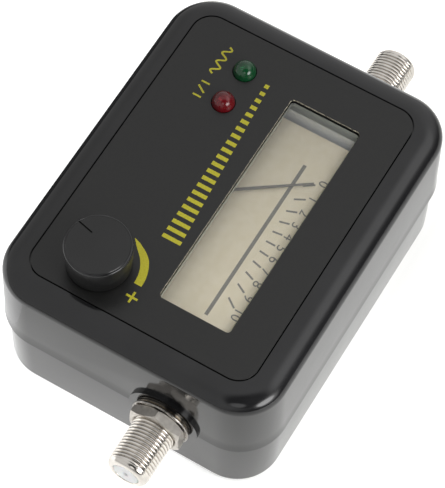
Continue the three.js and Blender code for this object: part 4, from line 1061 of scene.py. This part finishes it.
# coaxial connectors, drawn upright: heights are from the middle of the case
connectorSettings = {
    "tail": 37.22, "flangeBack": 38.42, "flangeFront": 40.42,
    "threadFrom": 42.0, "threadTo": 56.85, "end": 58.2,
    "neck": 1.8, "tailRadius": 3.4, "flangeRadius": 5.8, "major": 4.76, "depth": 0.43, "pitch": 0.794,
    "grooveWidth": 0.34, "grooveSlope": 0.2, "crest": 0.06, "fadeOut": 0.8,
    "collar": 4.65, "endRadius": 3.5, "collarRound": 1.2, "bore": 3.05, "step": 38.92, "edge": 0.12,
    "steps": 72, "perTurn": 12, "roundSteps": 10, "ringSteps": 96, "weld": 1e-4, "gap": 0.05,
    "insulatorEnd": 58.12, "insulatorEdge": 0.15, "socket": 0.42, "socketDepth": 1.6, "socketEdge": 0.25,
    "contact": 0.45,
    "washerFrom": 44.0, "washerTo": 44.6, "washerRadius": 6.7, "washerEdge": 0.1,
    "springFrom": 43.42, "springTo": 43.97, "springRadius": 6.35, "springStep": 0.22, "springEdge": 0.08,
    "springLean": 0.4,
    "nutFrom": 44.65, "nutTo": 47.05, "across": 11.6, "nutChamfer": 0.55, "nutSlope": (1.6, 0.9),
    "nutSpare": 0.02, "nutMouth": 1.4, "nutMouthDepth": 0.4, "nutOver": 1, "nutEdge": 0.07, "nutAngle": 25,
}


# a helical surface: rows run along the helix, and cut is the depth below the crest at each
def makeThread(s):
    steps, perTurn, pitch = s["steps"], s["perTurn"], s["pitch"]
    start, stop = s["threadFrom"], s["threadTo"]
    turns = (stop - start) / pitch
    bm = bmesh.new()
    rows = []
    for k in range(-perTurn, math.ceil(turns * perTurn) + 1):
        phase = (k % perTurn) / perTurn
        aside = abs(2 * phase - 1)
        flank = min(1.0, max(0.0, (s["grooveWidth"] - aside) / s["grooveSlope"]))
        crest = min(1.0, (1 - aside) / (1 - s["grooveWidth"])) ** 2
        cut = s["crest"] * crest + (s["depth"] - s["crest"]) * flank
        row = []
        for j in range(steps + 1):
            h = min(stop, max(start, start + pitch * (k / perTurn + j / steps)))
            fade = min(1.0, (h - start) / pitch) * min(1.0, (stop - h) / (pitch * s["fadeOut"]))
            r = s["major"] - cut * fade
            a = 2 * math.pi * j / steps
            row.append(bm.verts.new((r * math.cos(a), r * math.sin(a), h)))
        rows.append(row)
    for low, high in zip(rows, rows[1:]):
        for j in range(steps):
            bm.faces.new((low[j], low[j + 1], high[j + 1], high[j]))
    return bm


def connectorBody(s):
    tip, major, bore, edge = s["end"] - s["collarRound"], s["major"], s["bore"], s["edge"]
    profile = [(major, s["threadTo"]), (s["collar"], s["threadTo"] + edge)]
    profile += [(s["endRadius"] + (s["collar"] - s["endRadius"]) * math.cos(a),
                 tip + s["collarRound"] * math.sin(a)) for a in quarterTurn(s["roundSteps"])]
    profile += [(bore + edge, s["end"]), (bore, s["end"] - edge), (bore, s["step"]),
                (s["neck"], s["step"]), (s["neck"], s["tail"]), (s["tailRadius"], s["tail"]),
                (s["tailRadius"], s["flangeBack"]), (s["flangeRadius"], s["flangeBack"]),
                (s["flangeRadius"], s["flangeFront"]), (major, s["flangeFront"]), (major, s["threadFrom"])]
    bm = turned(profile, s["steps"])
    thread = bpy.data.meshes.new("thread")
    coil = makeThread(s)
    coil.to_mesh(thread)
    coil.free()
    bm.from_mesh(thread)
    bmesh.ops.remove_doubles(bm, verts=bm.verts, dist=s["weld"])
    bmesh.ops.dissolve_degenerate(bm, edges=bm.edges, dist=s["weld"])
    bmesh.ops.recalc_face_normals(bm, faces=bm.faces)
    return bm


def connectorInsulator(s):
    face, gap, edge = s["insulatorEnd"], s["gap"], s["insulatorEdge"]
    neck, bore, hole, floor = s["neck"] - gap, s["bore"] - gap, s["contact"] + gap, face - s["socketDepth"]
    return turned([
        (hole, s["tail"]), (neck, s["tail"]), (neck, s["step"] + gap), (bore, s["step"] + gap),
        (bore, face - edge), (bore - edge, face), (s["socket"] + s["socketEdge"], face),
        (s["socket"], face - s["socketEdge"]), (s["socket"], floor), (hole, floor),
    ], closed=True)


def connectorWasher(s):
    inner, rim, edge, bend = s["major"] + s["gap"], s["washerRadius"], s["washerEdge"], s["edge"]
    low, high = s["washerFrom"], s["washerTo"]
    return turned([(inner, low), (rim - edge, low), (rim, low + bend), (rim, high - bend),
                   (rim - edge, high), (inner + edge, high), (inner, high - edge)],
                  s["ringSteps"], closed=True)


def connectorSpring(s):
    low, high, inner = s["springFrom"], s["springTo"], s["major"] + s["gap"]
    rim, step, edge, middle = s["springRadius"], s["springStep"], s["springEdge"], (low + high) / 2
    return turned([
        (inner, low), (rim - step, low), (rim - step, low + edge), (rim, middle - edge), (rim, middle),
        (rim - step, middle + edge / 2), (rim - step * s["springLean"], high - s["washerEdge"]),
        (rim - step, high), (inner, high),
    ], s["ringSteps"], closed=True)


def makeNut(name, s):
    corner, inner = s["across"] / math.sqrt(3), s["major"] + s["gap"]
    low, high, over, depth = s["nutFrom"], s["nutTo"], s["nutOver"], s["nutMouthDepth"]
    away, rise = s["nutChamfer"] * s["nutSlope"][0], s["nutChamfer"] * s["nutSlope"][1]
    hexagon = [(corner * math.cos(math.pi / 3 * i), corner * math.sin(math.pi / 3 * i)) for i in range(6)]
    nut = newShape(name, plate(hexagon, low, high))
    spare = corner + s["nutSpare"]
    blank = turned([(0, low), (corner - away, low), (spare, low + rise), (spare, high - rise),
                    (corner - away, high), (0, high)], s["ringSteps"])
    combine(nut, [newShape("blank", blank)], "INTERSECT")
    mouth = inner + s["nutMouth"]
    bore = turned([(0, low - over), (mouth, low - over), (inner, low + depth), (inner, high - depth),
                   (mouth, high + over), (0, high + over)], s["steps"])
    combine(nut, [newShape("bore", bore)])
    soften(nut, s["nutEdge"], 2, s["nutAngle"])
    return nut


def makeConnector(side, s, c):
    name, end = ("right", "Right") if side > 0 else ("left", "Left")
    for piece, drawn, material, slot, sharp in (
        ("Body", connectorBody(s), "nickel-plated turned brass", "nickel", 50),
        ("Insulator", connectorInsulator(s), "moulded polyethylene", "white_insulator", 40),
        ("Washer", connectorWasher(s), "zinc-plated steel", "nickel", 40),
        ("SpringWasher", connectorSpring(s), "hardened spring steel", "nickel", 40),
    ):
        shape = newShape(f"connector{piece}{end}", alongX(drawn, side, c))
        # the spring washer stands for no CAD node
        replaced = [] if piece == "SpringWasher" else [f"{name}_connector_{piece.lower()}"]
        finishPiece(shape, [material], "case", replaced, sharp)
    nut = makeNut(f"connectorNut{end}", s)
    alongX(nut.data, side, c)
    finishPiece(nut, ["nickel-plated pressed brass"], "case", [f"{name}_connector_nut"])


for side in (1, -1):
    makeConnector(side, connectorSettings, caseSettings)
print("connectors made")


# finishes of the CAD pieces that stay
kept = {
    "cream dial enamel": ["dial_plate"],
    "painted aluminium": ["pointer"],
    "cream moulded polystyrene": ["meter_base"],
    "zinc-plated steel": ["case_screw_1", "case_screw_2", "case_screw_3", "case_screw_4", "control_housing",
                          "control_can", "control_washer", "pivot_top", "pivot_bottom"],
    "nickel-plated turned brass": ["control_nut"],
    "tinned copper wire": ["green_lamp_anode", "green_lamp_cathode", "red_lamp_anode", "red_lamp_cathode",
                           "control_terminal_1", "control_terminal_2", "control_terminal_3",
                           "meter_terminal_left", "meter_terminal_right"],
    "paper phenolic": ["control_wafer"],
    "turned aluminium alloy": ["control_shaft"],
    "bare turned brass": ["right_connector_contact", "left_connector_contact", "dial_screw_left",
                          "dial_screw_right", "magnet_strap", "bridge", "jewel_screw_top",
                          "jewel_screw_bottom"],
    "green solder mask": ["circuit_board"],
    "moulded black epoxy": ["amplifier_chip", "voltage_regulator"],
    "satin moulded ABS": ["buzzer"],
    "shrunk PVC sleeve": ["capacitor_tall", "capacitor_short"],
    "sintered ferrite": ["choke"],
    "cast Alnico": ["core_magnet"],
    "annealed soft iron": ["yoke_ring"],
    "phosphor bronze": ["hairspring_top", "hairspring_bottom"],
    "rolled aluminium": ["coil_former"],
    "enamelled copper wire": ["coil_winding"],
}
for name, nodes in kept.items():
    for node in nodes:
        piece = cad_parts[node]
        for slot in piece.material_slots:
            slot.material = finish[name]
print("finishes laid on the CAD pieces")
